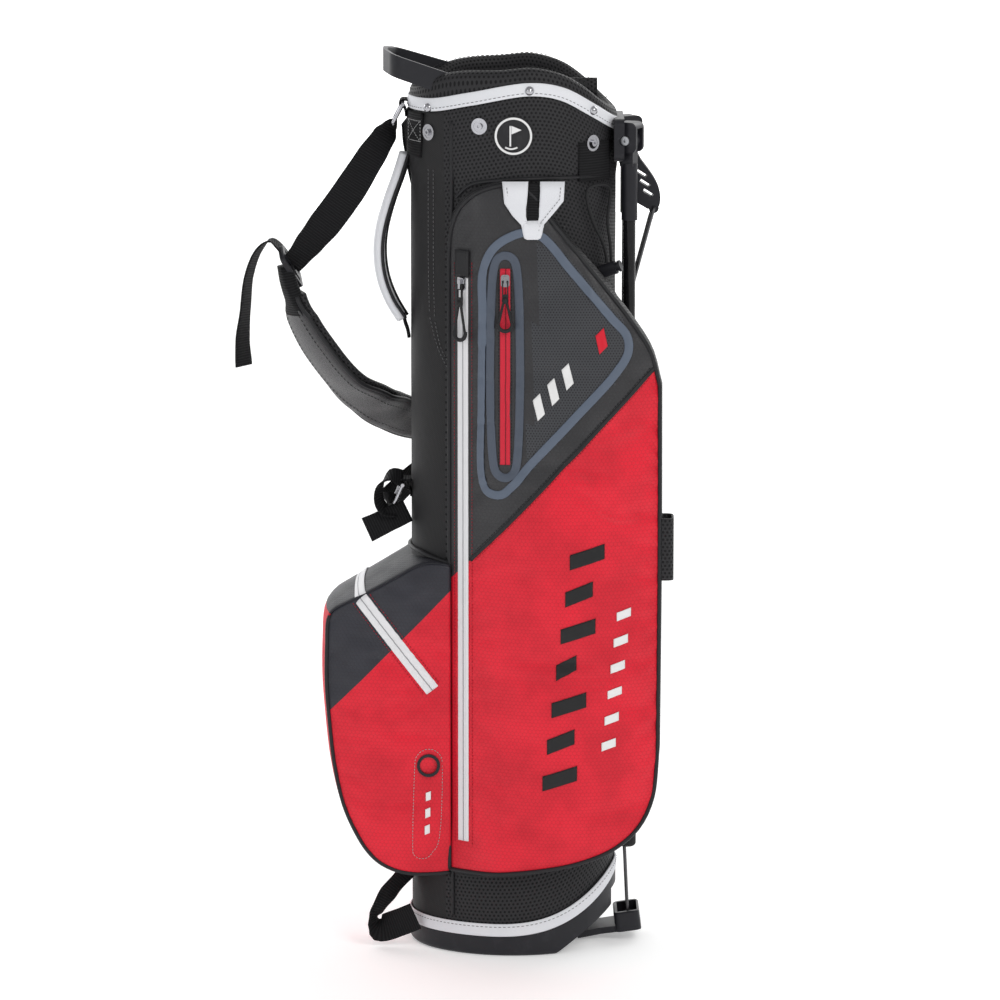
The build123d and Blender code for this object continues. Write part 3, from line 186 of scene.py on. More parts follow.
class Finish:
    """One material: its principled shader's fixed values, and node trees written as sums."""

    def __init__(self, name, colour, rough, metal=0.0, **fixed):
        self.material = bpy.data.materials.new(name)
        self.material.use_nodes = True
        self.tree = self.material.node_tree
        self.shader = self.tree.nodes["Principled BSDF"]
        self.give("Base Color", colour)
        self.give("Roughness", rough)
        self.give("Metallic", metal)
        fixed.setdefault("specular_ior_level", 0.5 if metal else 0.3)
        for key, value in fixed.items():
            self.give(key.replace("_", " ").title().replace("Ior", "IOR"), value)

    def put(self, socket, value):
        if isinstance(value, Link):
            self.tree.links.new(value.socket, socket)
        elif isinstance(value, tuple) and len(value) == 3 and socket.type == "RGBA":
            socket.default_value = (*value, 1.0)
        else:
            socket.default_value = value

    def give(self, name, value):
        self.put(self.shader.inputs[name], value)

    def node(self, kind, settings=None, inputs=None):
        """Any node: settings first, then the values or links of its sockets."""
        made = self.tree.nodes.new(kind)
        for key, value in (settings or {}).items():
            setattr(made, key, value)
        for key, value in (inputs or {}).items():
            self.put(made.inputs[key], value)
        return Outputs(self, made)

    def math(self, operation, *values):
        return self.node("ShaderNodeMath", {"operation": operation}, dict(enumerate(values)))[0]

    def mix(self, mask, low, high):
        """Colour low where mask is 0 and high where it is 1."""
        made = self.node("ShaderNodeMix", {"data_type": "RGBA"})
        for index, value in ((0, mask), (6, low), (7, high)):
            self.put(made.node.inputs[index], value)
        return made[2]

    def cloth(self):
        """Across and along the cloth, in millimetres."""
        parts = self.node("ShaderNodeSeparateXYZ", None, {0: self.node("ShaderNodeUVMap",
                                                                       {"uv_map": "cloth"})["UV"]})
        return parts["X"] / MM, parts["Y"] / MM

    def place(self):
        """x, y and z of the point in the frame, in millimetres."""
        parts = self.node("ShaderNodeSeparateXYZ", None, {0: self.node("ShaderNodeTexCoord")["Object"]})
        return parts["X"] / MM, parts["Y"] / MM, parts["Z"] / MM

    def grain(self, size, detail=2.0, rough=0.5):
        """Noise with lumps of about one size in millimetres, from 0 to 1."""
        spot = self.node("ShaderNodeTexCoord")["Object"]
        inputs = {"Vector": spot, "Scale": 1.0 / (size * MM), "Detail": detail, "Roughness": rough}
        return self.node("ShaderNodeTexNoise", None, inputs)["Fac"]

    def relief(self, height, strength=1.0):
        """Bump from a height in millimetres."""
        inputs = {"Height": height * MM, "Distance": 1.0, "Strength": strength}
        self.give("Normal", self.node("ShaderNodeBump", None, inputs)["Normal"])


def cells(u, v, pitch):
    """Honeycomb: about 0 in the middle of a cell and 0.5 on its walls."""
    rise = math.sqrt(3)
    p, q = u / pitch, v / (pitch * rise)
    first = [p.fract() - 0.5, (q.fract() - 0.5) * rise]
    second = [(p + 0.5).fract() - 0.5, ((q + 0.5).fract() - 0.5) * rise]
    near = (first[0] * first[0] + first[1] * first[1]).least(second[0] * second[0] + second[1] * second[1])
    return near.finish.math("SQRT", near)


# ---------------------------------------------------------------- finishes
def mesh_cloth(name, thread, hole, pitch=4.3):
    """Knitted hexagon mesh over foam."""
    made = Finish(name, thread, 0.72, specular_ior_level=0.35)
    u, v = made.cloth()
    wall = cells(u, v, pitch)
    pit = 1 - wall.ramp(0.2, 0.36)
    fuzz = made.grain(1.1, 3.0)
    made.give("Base Color", made.mix(pit, made.mix(fuzz, tuple(0.75 * c for c in thread), thread), hole))
    made.give("Roughness", 0.55 + 0.35 * pit)
    made.relief(0.55 * (1 - pit) + 0.12 * fuzz, 0.9)
    return made


def coated_cloth(name, colour, shade, rough, pitch=3.4, depth=0.09):
    """Coated polyester with a fine pressed honeycomb."""
    made = Finish(name, colour, rough, coat_weight=0.12, coat_roughness=0.35)
    u, v = made.cloth()
    wall = cells(u, v, pitch).ramp(0.34, 0.5)
    cloud = made.grain(46.0, 3.0, 0.6)
    tone = made.mix(cloud.ramp(0.3, 0.72), colour, shade)
    made.give("Base Color", made.mix(wall * 0.35, tone, tuple(0.62 * c for c in colour)))
    made.give("Roughness", rough + 0.12 * wall + 0.1 * cloud)
    made.relief(depth * (1 - wall) + 0.35 * made.grain(9.0, 2.0), 0.8)
    return made


def two_tone(name, low, high, line, rough=0.36):
    """Coated honeycomb cloth in two colours, sewn together along a line. line gives 1 on the upper cloth."""
    made = Finish(name, low, rough, specular_ior_level=0.35)
    u, v = made.cloth()
    x, _, z = made.place()
    upper = line(x, z)
    wall = cells(u, v, 4.0).ramp(0.34, 0.5)
    cloud = made.grain(46.0, 3.0, 0.6).ramp(0.3, 0.72)
    tones = [made.mix(cloud, tone, tuple(0.8 * c for c in tone)) for tone in (low, high)]
    cloth = made.mix(upper, *tones)
    made.give("Base Color", made.mix(wall * 0.16, cloth, (0.02, 0.012, 0.013)))
    made.give("Roughness", rough - 0.06 * upper + 0.12 * wall + 0.12 * cloud)
    made.relief(0.12 * (1 - wall) + 0.35 * made.grain(9.0, 2.0), 0.8)
    return made


def twill_cloth(name, colour):
    """Plain fine twill of the strap side's upright panel."""
    made = Finish(name, colour, 0.66, specular_ior_level=0.4)
    u, v = made.cloth()
    rib = ((u + v * 0.5) * (2 * math.pi / 2.4)).sine() * ((v - u * 0.35) * (2 * math.pi / 3.6)).sine()
    made.give("Base Color", made.mix(rib.ramp(-0.6, 0.8), tuple(0.55 * c for c in colour), colour))
    made.relief(0.11 * rib + 0.5 * made.grain(14.0, 2.0), 0.8)
    return made


def webbing_cloth(name, colour):
    """Ribbed nylon webbing, ribs across its length and a smooth edge."""
    made = Finish(name, colour, 0.7, specular_ior_level=0.18)
    u, v = made.cloth()
    rib = (v * (2 * math.pi / 2.6)).sine()
    knit = (u * (2 * math.pi / 1.3) + rib * 0.8).sine()
    height = 0.6 * rib + 0.4 * knit
    made.give("Base Color", made.mix(height.ramp(-0.8, 0.8), tuple(0.45 * c for c in colour), colour))
    made.give("Roughness", 0.8 - 0.14 * rib.ramp(-0.2, 1.0))
    made.relief(0.2 * height, 0.9)
    return made


def hide(name, colour, shade, rough, grain_size=1.4, depth=0.16):
    """Grained synthetic leather."""
    made = Finish(name, colour, rough, coat_weight=0.1, coat_roughness=0.3)
    pebble = made.node(
        "ShaderNodeTexVoronoi", {"feature": "DISTANCE_TO_EDGE"},
        {"Vector": made.node("ShaderNodeTexCoord")["Object"], "Scale": 1 / (grain_size * MM)},
    )["Distance"].ramp(0.0, 0.22)
    cloud = made.grain(30.0, 3.0)
    made.give("Base Color", made.mix(cloud * (0.4 + 0.6 * pebble), shade, colour))
    made.give("Roughness", rough + 0.15 * (1 - pebble))
    made.relief(depth * pebble + 0.4 * made.grain(12.0, 2.0), 0.7)
    return made


def zip_cloth(name, colour, groove, half):
    """Coated zip tape: smooth, with the closed join as a fine line down its middle."""
    made = Finish(name, colour, 0.42)
    u, v = made.cloth()
    off = abs(u - half)
    join = 1 - off.ramp(0.25, 0.75)
    tooth = (v * (2 * math.pi / 1.8)).sine() * (1 - off.ramp(1.6, 2.6))
    made.give("Base Color", made.mix(join, made.mix(made.grain(8.0), colour, tuple(0.92 * c for c in colour)),
                                     groove))
    made.relief(0.12 * tooth - 0.5 * join - 0.18 * off.ramp(2.4, 3.2), 0.8)
    return made


def moulded(name, colour, rough, depth=0.05):
    """Moulded plastic with a fine spark texture and rubbed high spots."""
    made = Finish(name, colour, rough)
    speck = made.grain(0.9, 4.0, 0.6)
    wear = made.grain(22.0, 4.0, 0.65).ramp(0.5, 0.8)
    made.give("Base Color", made.mix(wear, colour, tuple(1.5 * c + 0.004 for c in colour)))
    made.give("Roughness", rough + 0.12 * speck - 0.08 * wear)
    made.relief(depth * speck, 0.6)
    return made


def metal(name, colour, rough, scratch=0.1):
    """Plated or brushed metal."""
    made = Finish(name, colour, rough, metal=1.0)
    streak = made.grain(3.0, 6.0, 0.7)
    made.give("Roughness", rough + scratch * streak)
    made.give("Base Color", made.mix(streak.ramp(0.3, 0.8), tuple(0.86 * c for c in colour), colour))
    return made


def cord_cloth(name, colour, pitch=1.6):
    """Braided cord."""
    made = Finish(name, colour, 0.65)
    u, v = made.cloth()
    braid = ((u * 1.4 + v) * (2 * math.pi / pitch)).sine() * ((u * 1.4 - v) * (2 * math.pi / pitch)).sine()
    made.give("Base Color", made.mix(braid.ramp(-0.5, 0.6), tuple(0.45 * c for c in colour), colour))
    made.relief(0.14 * braid, 0.8)
    return made


def film(name, colour, rough=0.38):
    """Welded film: smooth, with a faint orange-peel surface."""
    made = Finish(name, colour, rough)
    peel = made.grain(2.4, 2.0)
    made.give("Roughness", rough + 0.14 * peel)
    made.relief(0.05 * peel, 0.6)
    return made


def punched_cloth(name, colour, hole):
    """Grey film with small round holes in rows."""
    made = Finish(name, colour, 0.45)
    u, v = made.cloth()
    pit = 1 - cells(u, v, 2.9).ramp(0.17, 0.27)
    made.give("Base Color", made.mix(pit, colour, hole))
    made.relief(0.25 * (1 - pit), 0.8)
    return made


RED = (0.78, 0.009, 0.03)
GREY = (0.036, 0.036, 0.039)
finishes = {}


def make_finishes():
    """Every finish once, by a maker's name."""
    finishes.update({
        "mesh": mesh_cloth("black_hex_mesh", (0.02, 0.0195, 0.022), (0.007, 0.007, 0.008)),
        "twill": twill_cloth("black_twill", (0.013, 0.0125, 0.014)),
        "lining": twill_cloth("black_lining", (0.013, 0.013, 0.015)),
        "pocket": two_tone("clothing_pocket_cloth", RED, GREY, lambda x, z: z > pocket_seam(x)),
        "ball": two_tone("ball_pocket_cloth", RED, (0.028, 0.029, 0.039), ball_seam),
        # The strip's grey (0.018) is darker than the side panels' grey (0.028): painted shade that evens out
        # the extra light on its upward face. Its red part is the plain red.
        "ball_strip": two_tone("ball_strip_cloth_grey_painted_shade", RED, (0.018, 0.019, 0.026), strip_seam, 0.56),
        "valuables": two_tone("valuables_pocket_cloth", RED, GREY, valuables_seam),
        "red": coated_cloth("crimson_honeycomb", RED, (0.66, 0.007, 0.024), 0.4),
        "grey": coated_cloth("graphite_honeycomb", GREY, (0.026, 0.026, 0.028), 0.3, 4.4, 0.16),
        "punched": punched_cloth("punched_film", (0.05, 0.052, 0.058), (0.01, 0.01, 0.012)),
        "weld": film("weld_band", (0.105, 0.13, 0.175)),
        "weld_dark": film("weld_frame", (0.075, 0.09, 0.12)),
        "webbing": webbing_cloth("black_webbing", (0.012, 0.012, 0.0135)),
        "white": hide("white_leathercloth", (0.83, 0.84, 0.87), (0.74, 0.75, 0.79), 0.42),
        "pad": hide("grey_strap_leather", (0.055, 0.053, 0.056), (0.032, 0.031, 0.034), 0.3, 1.8, 0.2),
        "white_zip": zip_cloth("white_coated_zip", (0.8, 0.8, 0.82), (0.3, 0.3, 0.32), 6.5),
        "red_zip": zip_cloth("red_coated_zip", (0.62, 0.016, 0.04), (0.2, 0.006, 0.014), 5.0),
        "piping": film("black_piping", (0.016, 0.016, 0.018), 0.42),
        "cord": cord_cloth("black_cord", (0.024, 0.024, 0.026)),
        "elastic": cord_cloth("black_elastic", (0.018, 0.018, 0.02), 1.2),
        "moulded": moulded("black_moulding", (0.014, 0.014, 0.018), 0.38),
        "gloss": moulded("gloss_black_paint", (0.008, 0.008, 0.009), 0.1, 0.01),
        "rubber": moulded("black_rubber", (0.014, 0.014, 0.015), 0.66, 0.12),
        "chrome": metal("nickel_plate", (0.5, 0.5, 0.53), 0.12),
        "steel": metal("zinc_plate", (0.46, 0.47, 0.49), 0.3, 0.2),
        "wire": metal("dark_spring_wire", (0.12, 0.12, 0.125), 0.32, 0.2),
        "red_thread": cord_cloth("red_thread", (0.62, 0.02, 0.045), 0.8),
        "grey_thread": cord_cloth("grey_thread", (0.3, 0.3, 0.31), 0.8),
        "white_thread": cord_cloth("white_thread", (0.75, 0.75, 0.76), 0.8),
        "black_thread": cord_cloth("black_thread", (0.03, 0.03, 0.032), 0.8),
        "print_black": film("black_print", (0.012, 0.012, 0.013), 0.34),
        "print_white": film("white_print", (0.8, 0.8, 0.8), 0.4),
        "print_red": film("red_print", (0.66, 0.012, 0.03), 0.34),
        "badge": moulded("badge_rubber", (0.018, 0.018, 0.02), 0.48, 0.04),
    })


# ---------------------------------------------------------------- mesh making
def make(name, points, faces, uvs, finish, body="root", parts=None):
    """A mesh piece from millimetre points. uvs holds one (across, along) per face corner."""
    mesh = bpy.data.meshes.new(name)
    mesh.from_pydata([Vector(p) * MM for p in points], [], faces)
    layer = mesh.uv_layers.new(name="cloth")
    for loop, (u, v) in zip(layer.data, uvs):
        loop.uv = (u * MM, v * MM)
    piece = bpy.data.objects.new(name, mesh)
    bpy.context.scene.collection.objects.link(piece)
    for each in ([finish] if isinstance(finish, str) else finish):
        mesh.materials.append(finishes[each].material)
    if parts:
        mesh.polygons.foreach_set("material_index", parts)
    mesh.polygons.foreach_set("use_smooth", [True] * len(faces))
    mesh.update()
    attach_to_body(piece, body)
    return piece


def lengths(points):
    """Distance along a line of points, starting from 0."""
    run = [0.0]
    for a, b in zip(points, points[1:]):
        run.append(run[-1] + (Vector(b) - Vector(a)).length)
    return run


def grid(name, rows, finish, around=False, flip=False, pick=None, uv=None, body="root"):
    """A surface through rows of points. around joins each row's end to its start.

    pick gives a face's finish from its middle point, and uv a corner's own (across, along)."""
    high, wide = len(rows), len(rows[0])
    points = [Vector(p) for row in rows for p in row]
    closed = [list(row) + [row[0]] if around else row for row in rows]
    across = lengths(closed[high // 2])
    along = lengths([row[wide // 2] for row in rows])
    faces, uvs, parts = [], [], []
    for j in range(high - 1):
        for i in range(wide if around else wide - 1):
            corners = [(j, i), (j, i + 1), (j + 1, i + 1), (j + 1, i)]
            if flip:
                corners.reverse()
            faces.append([a * wide + b % wide for a, b in corners])
            uvs += [uv(closed[a][b]) if uv else (across[b], along[a]) for a, b in corners]
            if pick:
                parts.append(pick(sum((points[k] for k in faces[-1]), Vector()) / 4))
    return make(name, points, faces, uvs, finish, body, parts)


def thicken(piece, thick, inward=True):
    """Gives a sheet its thickness."""
    solid = piece.modifiers.new("thickness", "SOLIDIFY")
    solid.thickness = thick * MM
    solid.offset = -1.0 if inward else 1.0
    return piece


def smoother(piece, levels=1):
    """Subdivision for a rounder surface."""
    piece.modifiers.new("smooth", "SUBSURF").levels = levels
    piece.modifiers["smooth"].render_levels = levels
    return piece


def spline(knots, step, closed=False):
    """A smooth line through knots, as points about step apart."""
    knots = [Vector(k) for k in knots]
    count = len(knots)
    spans = count if closed else count - 1

    def at(i):
        return knots[i % count] if closed else knots[min(max(i, 0), count - 1)]

    dense = []
    for i in range(spans):
        p0, p1, p2, p3 = at(i - 1), at(i), at(i + 1), at(i + 2)
        if not closed and i == 0:
            p0 = 2 * p1 - p2
        if not closed and i == spans - 1:
            p3 = 2 * p2 - p1
        t01, t12, t23 = (max(0.001, (b - a).length ** 0.5) for a, b in ((p0, p1), (p1, p2), (p2, p3)))
        m1 = (p2 - p1) + t12 * ((p1 - p0) / t01 - (p2 - p0) / (t01 + t12))
        m2 = (p2 - p1) + t12 * ((p3 - p2) / t23 - (p3 - p1) / (t12 + t23))
        for k in range(16):
            t = k / 16
            a, b = 2 * (p1 - p2) + m1 + m2, -3 * (p1 - p2) - 2 * m1 - m2
            dense.append(((a * t + b) * t + m1) * t + p1)
    dense.append(knots[0].copy() if closed else knots[-1].copy())
    return even(dense, step, closed)


def even(dense, step, closed=False):
    """The same line with evenly spaced points."""
    run = lengths(dense)
    count = max(2, round(run[-1] / step))
    out, k = [], 0
    for i in range(count if closed else count + 1):
        goal = run[-1] * i / count
        while k < len(run) - 2 and run[k + 1] < goal:
            k += 1
        share = (goal - run[k]) / max(1e-9, run[k + 1] - run[k])
        out.append(dense[k].lerp(dense[k + 1], min(1.0, share)))
    return out


def sweep(name, path, outs, section, finish, closed=False, widths=None, body="root", pick=None):
    """A piece with one cross-section along a path.

    section is a list of (across, out) points. outs is the outward direction at each path point, or
    None for a round piece. widths scales the section across at each point."""
    count = len(path)
    rings, turned = [], None
    for i, point in enumerate(path):
        before = path[i - 1] if closed or i else path[0]
        after = path[(i + 1) % count] if closed or i < count - 1 else path[-1]
        along = (Vector(after) - Vector(before)).normalized()
        out = Vector(outs[i]) if outs else (turned or along.orthogonal())
        out = (out - along * out.dot(along)).normalized()
        turned = out
        side = along.cross(out)
        wide = widths[i] if widths else 1.0
        rings.append([Vector(point) + side * (a * wide) + out * b for a, b in section])
    size = len(section)
    points = [p for ring in rings for p in ring]
    around = lengths([Vector((a, b, 0)) for a, b in section] + [Vector((*section[0], 0))])
    run = lengths(list(path) + ([path[0]] if closed else []))
    faces, uvs, parts = [], [], []
    for j in range(count if closed else count - 1):
        for i in range(size):
            corners = [(j, i), (j, i + 1), (j + 1, i + 1), (j + 1, i)]
            faces.append([(a % count) * size + b % size for a, b in reversed(corners)])
            uvs += [(around[b], run[a]) for a, b in reversed(corners)]
            parts.append(pick(i) if pick else 0)
    if not closed:
        faces += [list(range(size)), [(count - 1) * size + i for i in reversed(range(size))]]
        uvs += [section[i] for i in range(size)] + [section[i] for i in reversed(range(size))]
        parts += [0, 0]
    return make(name, points, faces, uvs, finish, body, parts)


def round_section(radius, sides=10):
    return [(radius * math.cos(2 * math.pi * i / sides),
             radius * math.sin(2 * math.pi * i / sides)) for i in range(sides)]


def strap_section(width, thick, crown=0.0, steps=8):
    """A flat strap's section: rounded edges, and a crown on its outer face."""
    half, r = width / 2, thick / 2
    face = []
    for i in range(steps + 1):
        a = -1 + 2 * i / steps
        face.append((a * (half - r), r + crown * (1 - a * a)))
    edge = [(half - 0.3 * r, 0.75 * r), (half, 0), (half - 0.3 * r, -0.75 * r)]
    back = [(-a * (half - r), -r) for a in [-1 + 2 * i / 4 for i in range(5)]]
    return face + edge + back + [(-x, -z) for x, z in edge]


def tube(name, path, radius, finish, closed=False, body="root", sides=10):
    return sweep(name, path, None, round_section(radius, sides), finish, closed, body=body)


def stitches(name, path, outs, finish, step=4.0, length=2.6, radius=0.38, body="root"):
    """A row of separate stitches along a path, each a short rounded thread."""
    run = lengths(path)
    points, faces = [], []
    k, place = 0, step / 2
    while place + length < run[-1]:
        while k < len(run) - 2 and run[k + 1] < place:
            k += 1
        share = (place - run[k]) / max(1e-9, run[k + 1] - run[k])
        middle = path[k].lerp(path[k + 1], share)
        along = (path[k + 1] - path[k]).normalized()
        out = outs[k].normalized()
        side = along.cross(out)
        base = len(points)
        for reach, size, lift in ((-0.5, 0.35, -0.5), (-0.25, 1, 0.4), (0.25, 1, 0.4), (0.5, 0.35, -0.5)):
            centre = middle + along * (reach * length) + out * (lift * radius)
            for a, b in ((1, 0), (0, 1), (-1, 0), (0, -1)):
                points.append(centre + side * (a * radius * size) + out * (b * radius * size))
        for ring in range(3):
            for i in range(4):
                a, b = base + ring * 4 + i, base + ring * 4 + (i + 1) % 4
                faces.append([a, b, b + 4, a + 4])
        faces += [[base + 3, base + 2, base + 1, base], [base + 12, base + 13, base + 14, base + 15]]
        place += step
    uvs = [(points[k].x, points[k].z) for face in faces for k in face]
    return make(name, points, faces, uvs, finish, body)


# ---------------------------------------------------------------- the tube's outline and lines
def skin(turn, grow=0.0):
    """Point of the tube's outline that faces the angle turn, and its outward direction. 0 faces the legs."""
    out = Vector((math.cos(turn), math.sin(turn), 0))
    if abs(out.x) > math.cos(TURN):
        return Vector((math.copysign(END_X, out.x), 0, 0)) + out * (END_R + grow), out
    return Vector((0, -math.copysign(SIDE_Y, out.y), 0)) + out * (SIDE_R + grow), out


def skin_depth(x):
    """Depth of the tube's surface at x."""
    if abs(x) > END_X * SIDE_R / (SIDE_R - END_R):
        return math.sqrt(max(0.0, END_R**2 - (abs(x) - END_X) ** 2))
    return math.sqrt(SIDE_R**2 - x**2) - SIDE_Y


def turn_at(x, side=-1):
    """The angle that faces out of the tube at x, near side (-1) or far side (1)."""
    if abs(x) > END_X * SIDE_R / (SIDE_R - END_R):
        return math.atan2(side * skin_depth(x), x - math.copysign(END_X, x))
    return math.atan2(side * (skin_depth(x) + SIDE_Y), x)


def between(knots, at):
    """Straight-line value at one place, from (place, value) knots in rising order."""
    for (x0, v0), (x1, v1) in zip(knots, knots[1:]):
        if at <= x1:
            return v0 + (v1 - v0) * (at - x0) / (x1 - x0)
    return knots[-1][1]


def smooth_line(knots):
    """(place, value) knots along a smooth line, close together."""
    return [(p.x, p.y) for p in spline([(a, b, 0) for a, b in knots], 2.0)]


COLLAR_DROPS = ((-1.15, 39), (-0.8, 39), (-0.42, 31), (0.15, 21), (0.46, 26), (0.75, 43), (1.0, 61),
                (1.15, 70))
RIM_DROPS = ((-1.15, 24), (-0.95, 20), (-0.65, 6), (-0.1, 2), (0.2, 0), (0.5, 7), (0.7, 19), (0.9, 36),
             (1.15, 54))
COLLAR = smooth_line([(share * TUBE_X, TALL - drop) for share, drop in COLLAR_DROPS])
RIM = smooth_line([(share * TUBE_X, TALL - drop) for share, drop in RIM_DROPS])
BASE_RISE = 50.0


def base_height(x):
    """Lower edge of the base's white band."""
    start = -0.3 * TUBE_X
    return BASE_LOW + BASE_RISE * max(0.0, (x - start) / (TUBE_X - start)) ** 3


def turns(count):
    return [2 * math.pi * i / count for i in range(count)]


# ---------------------------------------------------------------- tube, collar and base
def tube_fabric():
    """The sewn tube: foam-backed mesh, with a plain twill panel on the strap side."""
    rows = []
    ring = turns(240)
    for j in range(91):
        row = []
        for turn in ring:
            point = skin(turn)[0]
            low, high = base_height(point.x) + 2, between(COLLAR, point.x) - 1
            z = low + (high - low) * j / 90
            swell = 0.5 * noise.noise(Vector((point.x * 0.02, point.y * 0.02, z * 0.011)))
            collar = max(0.0, min(1.0, (z - (TALL - 112)) / 12)) * max(0.0, min(1.0, (high - z) / 14))
            spot = skin(turn, -0.6 + swell + 1.7 * collar)[0]
            spot.z = z
            row.append(spot)
        rows.append(row)

    def panel(middle):
        return 1 if middle.x < SEAM_X - 4 and abs(middle.y) < skin_depth(SEAM_X) - 2 else 0

    piece = grid("tube_fabric", rows, ["mesh", "twill"], around=True, pick=panel)
    thicken(piece, 1.2)
    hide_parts("body_shell")
    return piece


def band(name, line, width, thick, finish, node, grow=0.4):
    """A band sewn round the tube, its middle on a line, with a stitched row along one edge: the lower for the
    collar, the upper for the base.
    """
    path, outs = [], []
    for turn in turns(220):
        point, out = skin(turn, grow + thick / 2)
        point.z = line(point.x)
        path.append(point)
        outs.append(out)
    piece = sweep(name, path, outs, strap_section(width, thick, 0.5), finish, closed=True)
    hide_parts(node)
    for edge in (-1,) if node == "collar_trim" else (1,):
        row = [p + Vector((0, 0, edge * (width / 2 - 3.0))) + o * (thick / 2 + 0.42) for p,
               o in zip(path, outs)]
        made = stitches(f"{name}_stitches_{'low' if edge < 0 else 'high'}", row + [row[0]], outs + [outs[0]],
                        "grey_thread", 4.6, 3.0, 0.34)
    return piece


def collar_rim():
    """Padded mesh rim: a fat rounded roll, sewn along its inner edge."""
    rows = []
    thick = 15.5
    profile = [(-0.4, 0.0), (0.5, 0.16), (0.9, 0.4), (0.6, 0.66)]
    arc = [(-thick / 2 + (thick / 2 + 0.3) * math.cos(a),
            math.sin(a)) for a in [math.pi * k / 10 for k in range(11)]]
    ring = turns(220)
    for k in range(len(profile) + len(arc) + 5):
        row = []
        for turn in ring:
            x = skin(turn)[0].x
            low, high = between(COLLAR, x) + 1, between(RIM, x) - 0.5
            shoulder = high - 7.5
            if k < len(profile):
                grow, share = profile[k]
                z = low + (shoulder - low) * share
            elif k < len(profile) + len(arc):
                grow, lift = arc[k - len(profile)]
                z = shoulder + 7.5 * lift
            else:
                step = k - len(profile) - len(arc) + 1
                grow = -thick - 0.25 + (0.9 if step in (2, 3) else 0.0)
                z = shoulder - step * 7.5
            point = skin(turn, grow)[0]
            point.z = z
            row.append(point)
        rows.append(row)
    piece = grid("collar_roll", rows, ["mesh", "lining"], around=True, pick=lambda middle: 0)
    thicken(piece, 1.0)
    smoother(piece)
    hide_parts("collar_pad")
    path, outs = [], []
    for turn in ring:
        point, out = skin(turn, -thick * 0.62)
        point.z = between(RIM, point.x) - 0.2
        path.append(point)
        outs.append(Vector((0, 0, 1)) - out * 0.25)
    seam = stitches("collar_roll_stitches", path + [path[0]], outs + [outs[0]], "black_thread", 5.0, 3.4, 0.4)


def dividers():
    """Padded divider bars and the sheets that hang from them."""
    low, high = node_box("divider_bars")
    middle = (low + high) / 2
    cross_x = 8.0
    for name, length, along, centre in (
        ("divider_roll_long", high.x - low.x, Vector((1, 0, 0)), Vector((0, 0, middle.z))),
        ("divider_roll_cross", high.y - low.y, Vector((0, 1, 0)), Vector((cross_x, 0, middle.z))),
    ):
        steps = 24
        path = [centre + along * (length * (i / steps - 0.5)) for i in range(steps + 1)]
        section = [(6.3 * math.cos(a) * (0.8 + 0.2 * abs(math.cos(a))),
                    10.5 * math.sin(a)) for a in turns(20)]
        roll = sweep(name, path, [Vector((0, 0, 1))] * len(path), section, "mesh")
        if along.x:
            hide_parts("divider_bars")
    low, high = node_box("divider_sheets")
    for name, start, end in (
        ("divider_sheet_long", (low.x + 4, 0), (high.x - 4, 0)),
        ("divider_sheet_cross", (cross_x, low.y + 4), (cross_x, high.y - 4)),
    ):
        rows = []
        for j in range(33):
            z = low.z + 4 + (high.z - low.z - 6) * j / 32
            row = []
            for i in range(17):
                x = start[0] + (end[0] - start[0]) * i / 16
                y = start[1] + (end[1] - start[1]) * i / 16
                billow = math.sin(math.pi * i / 16) * math.sin(math.pi * j / 32)
                sway = 2.4 * billow * math.sin(z * 0.013 + x * 0.05)
                row.append((x + (sway if "cross" in name else 0), y + (0 if "cross" in name else sway), z))
            rows.append(row)
        piece = grid(name, rows, "lining")
        thicken(piece, 0.9)
        if name.endswith("long"):
            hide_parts("divider_sheets")


# ---------------------------------------------------------------- laying things on a surface
class Ground:
    """A finished panel that other pieces are laid on, seen along Y."""

    def __init__(self, piece, side=-1):
        mesh = piece.data
        points = [v.co / MM for v in mesh.vertices]
        self.tree = BVHTree.FromPolygons(points, [list(p.vertices) for p in mesh.polygons])
        self.side = side

    def hit(self, x, z, lift=0.0):
        """Point and outward direction of the panel at (x, z)."""
        start = Vector((x, self.side * 400, z))
        point, normal, _, _ = self.tree.ray_cast(start, Vector((0, -self.side, 0)))
        if point is None:
            point, normal, _, _ = self.tree.find_nearest(Vector((x, self.side * 90, z)))
        if normal.y * self.side < 0:
            normal = -normal
        return point + normal * lift, normal

    def lay(self, knots, step, lift=0.0, closed=False, straight=False):
        """A line of points on the panel through (x, z) knots, with outward directions."""
        flat = [Vector((x, 0, z)) for x, z in knots]
        if straight:
            line = even(flat + ([flat[0]] if closed else []), step, closed)
        else:
            line = spline(flat, step, closed)
        found = [self.hit(p.x, p.z, lift) for p in line]
        return [f[0] for f in found], [f[1] for f in found]

    def decal(self, name, outline, finish, slot, lift=0.8, steps=8):
        """A printed four-sided mark that follows the panel. outline is four (x, z) corners."""
        a, b, c, d = (Vector((x, 0, z)) for x, z in outline)
        rows = []
        for j in range(steps + 1):
            left, right = a.lerp(d, j / steps), b.lerp(c, j / steps)
            rows.append([self.hit(*(left.lerp(right, i / steps)).xz, lift)[0] for i in range(steps + 1)])
        piece = grid(name, rows, finish, flip=self.side > 0)
        thicken(piece, 0.3)
        return piece


def coons(bottom, right, top, left, wide, high):
    """Rows of (x, z) points inside four edge lines, from the bottom up."""
    edges = []
    for line, count in ((bottom, wide), (right, high), (top, wide), (left, high)):
        flat = [Vector((x, 0, z)) for x, z in line]
        dense = spline(flat, 1.5) if len(flat) > 2 else flat
        pts = even(dense, lengths(dense)[-1] / count)
        edges.append(pts)
    low, far, up, near = edges
    rows = []
    for j in range(high + 1):
        t = j / high
        row = []
        for i in range(wide + 1):
            s = i / wide
            point = (1 - t) * low[i] + t * up[i] + (1 - s) * near[j] + s * far[j]
            point -= (1 - s) * (1 - t) * low[0] + s * (1 - t) * low[-1] + (1 - s) * t * up[0] + s * t * up[-1]
            row.append((point.x, point.z))
        rows.append(row)
    return rows


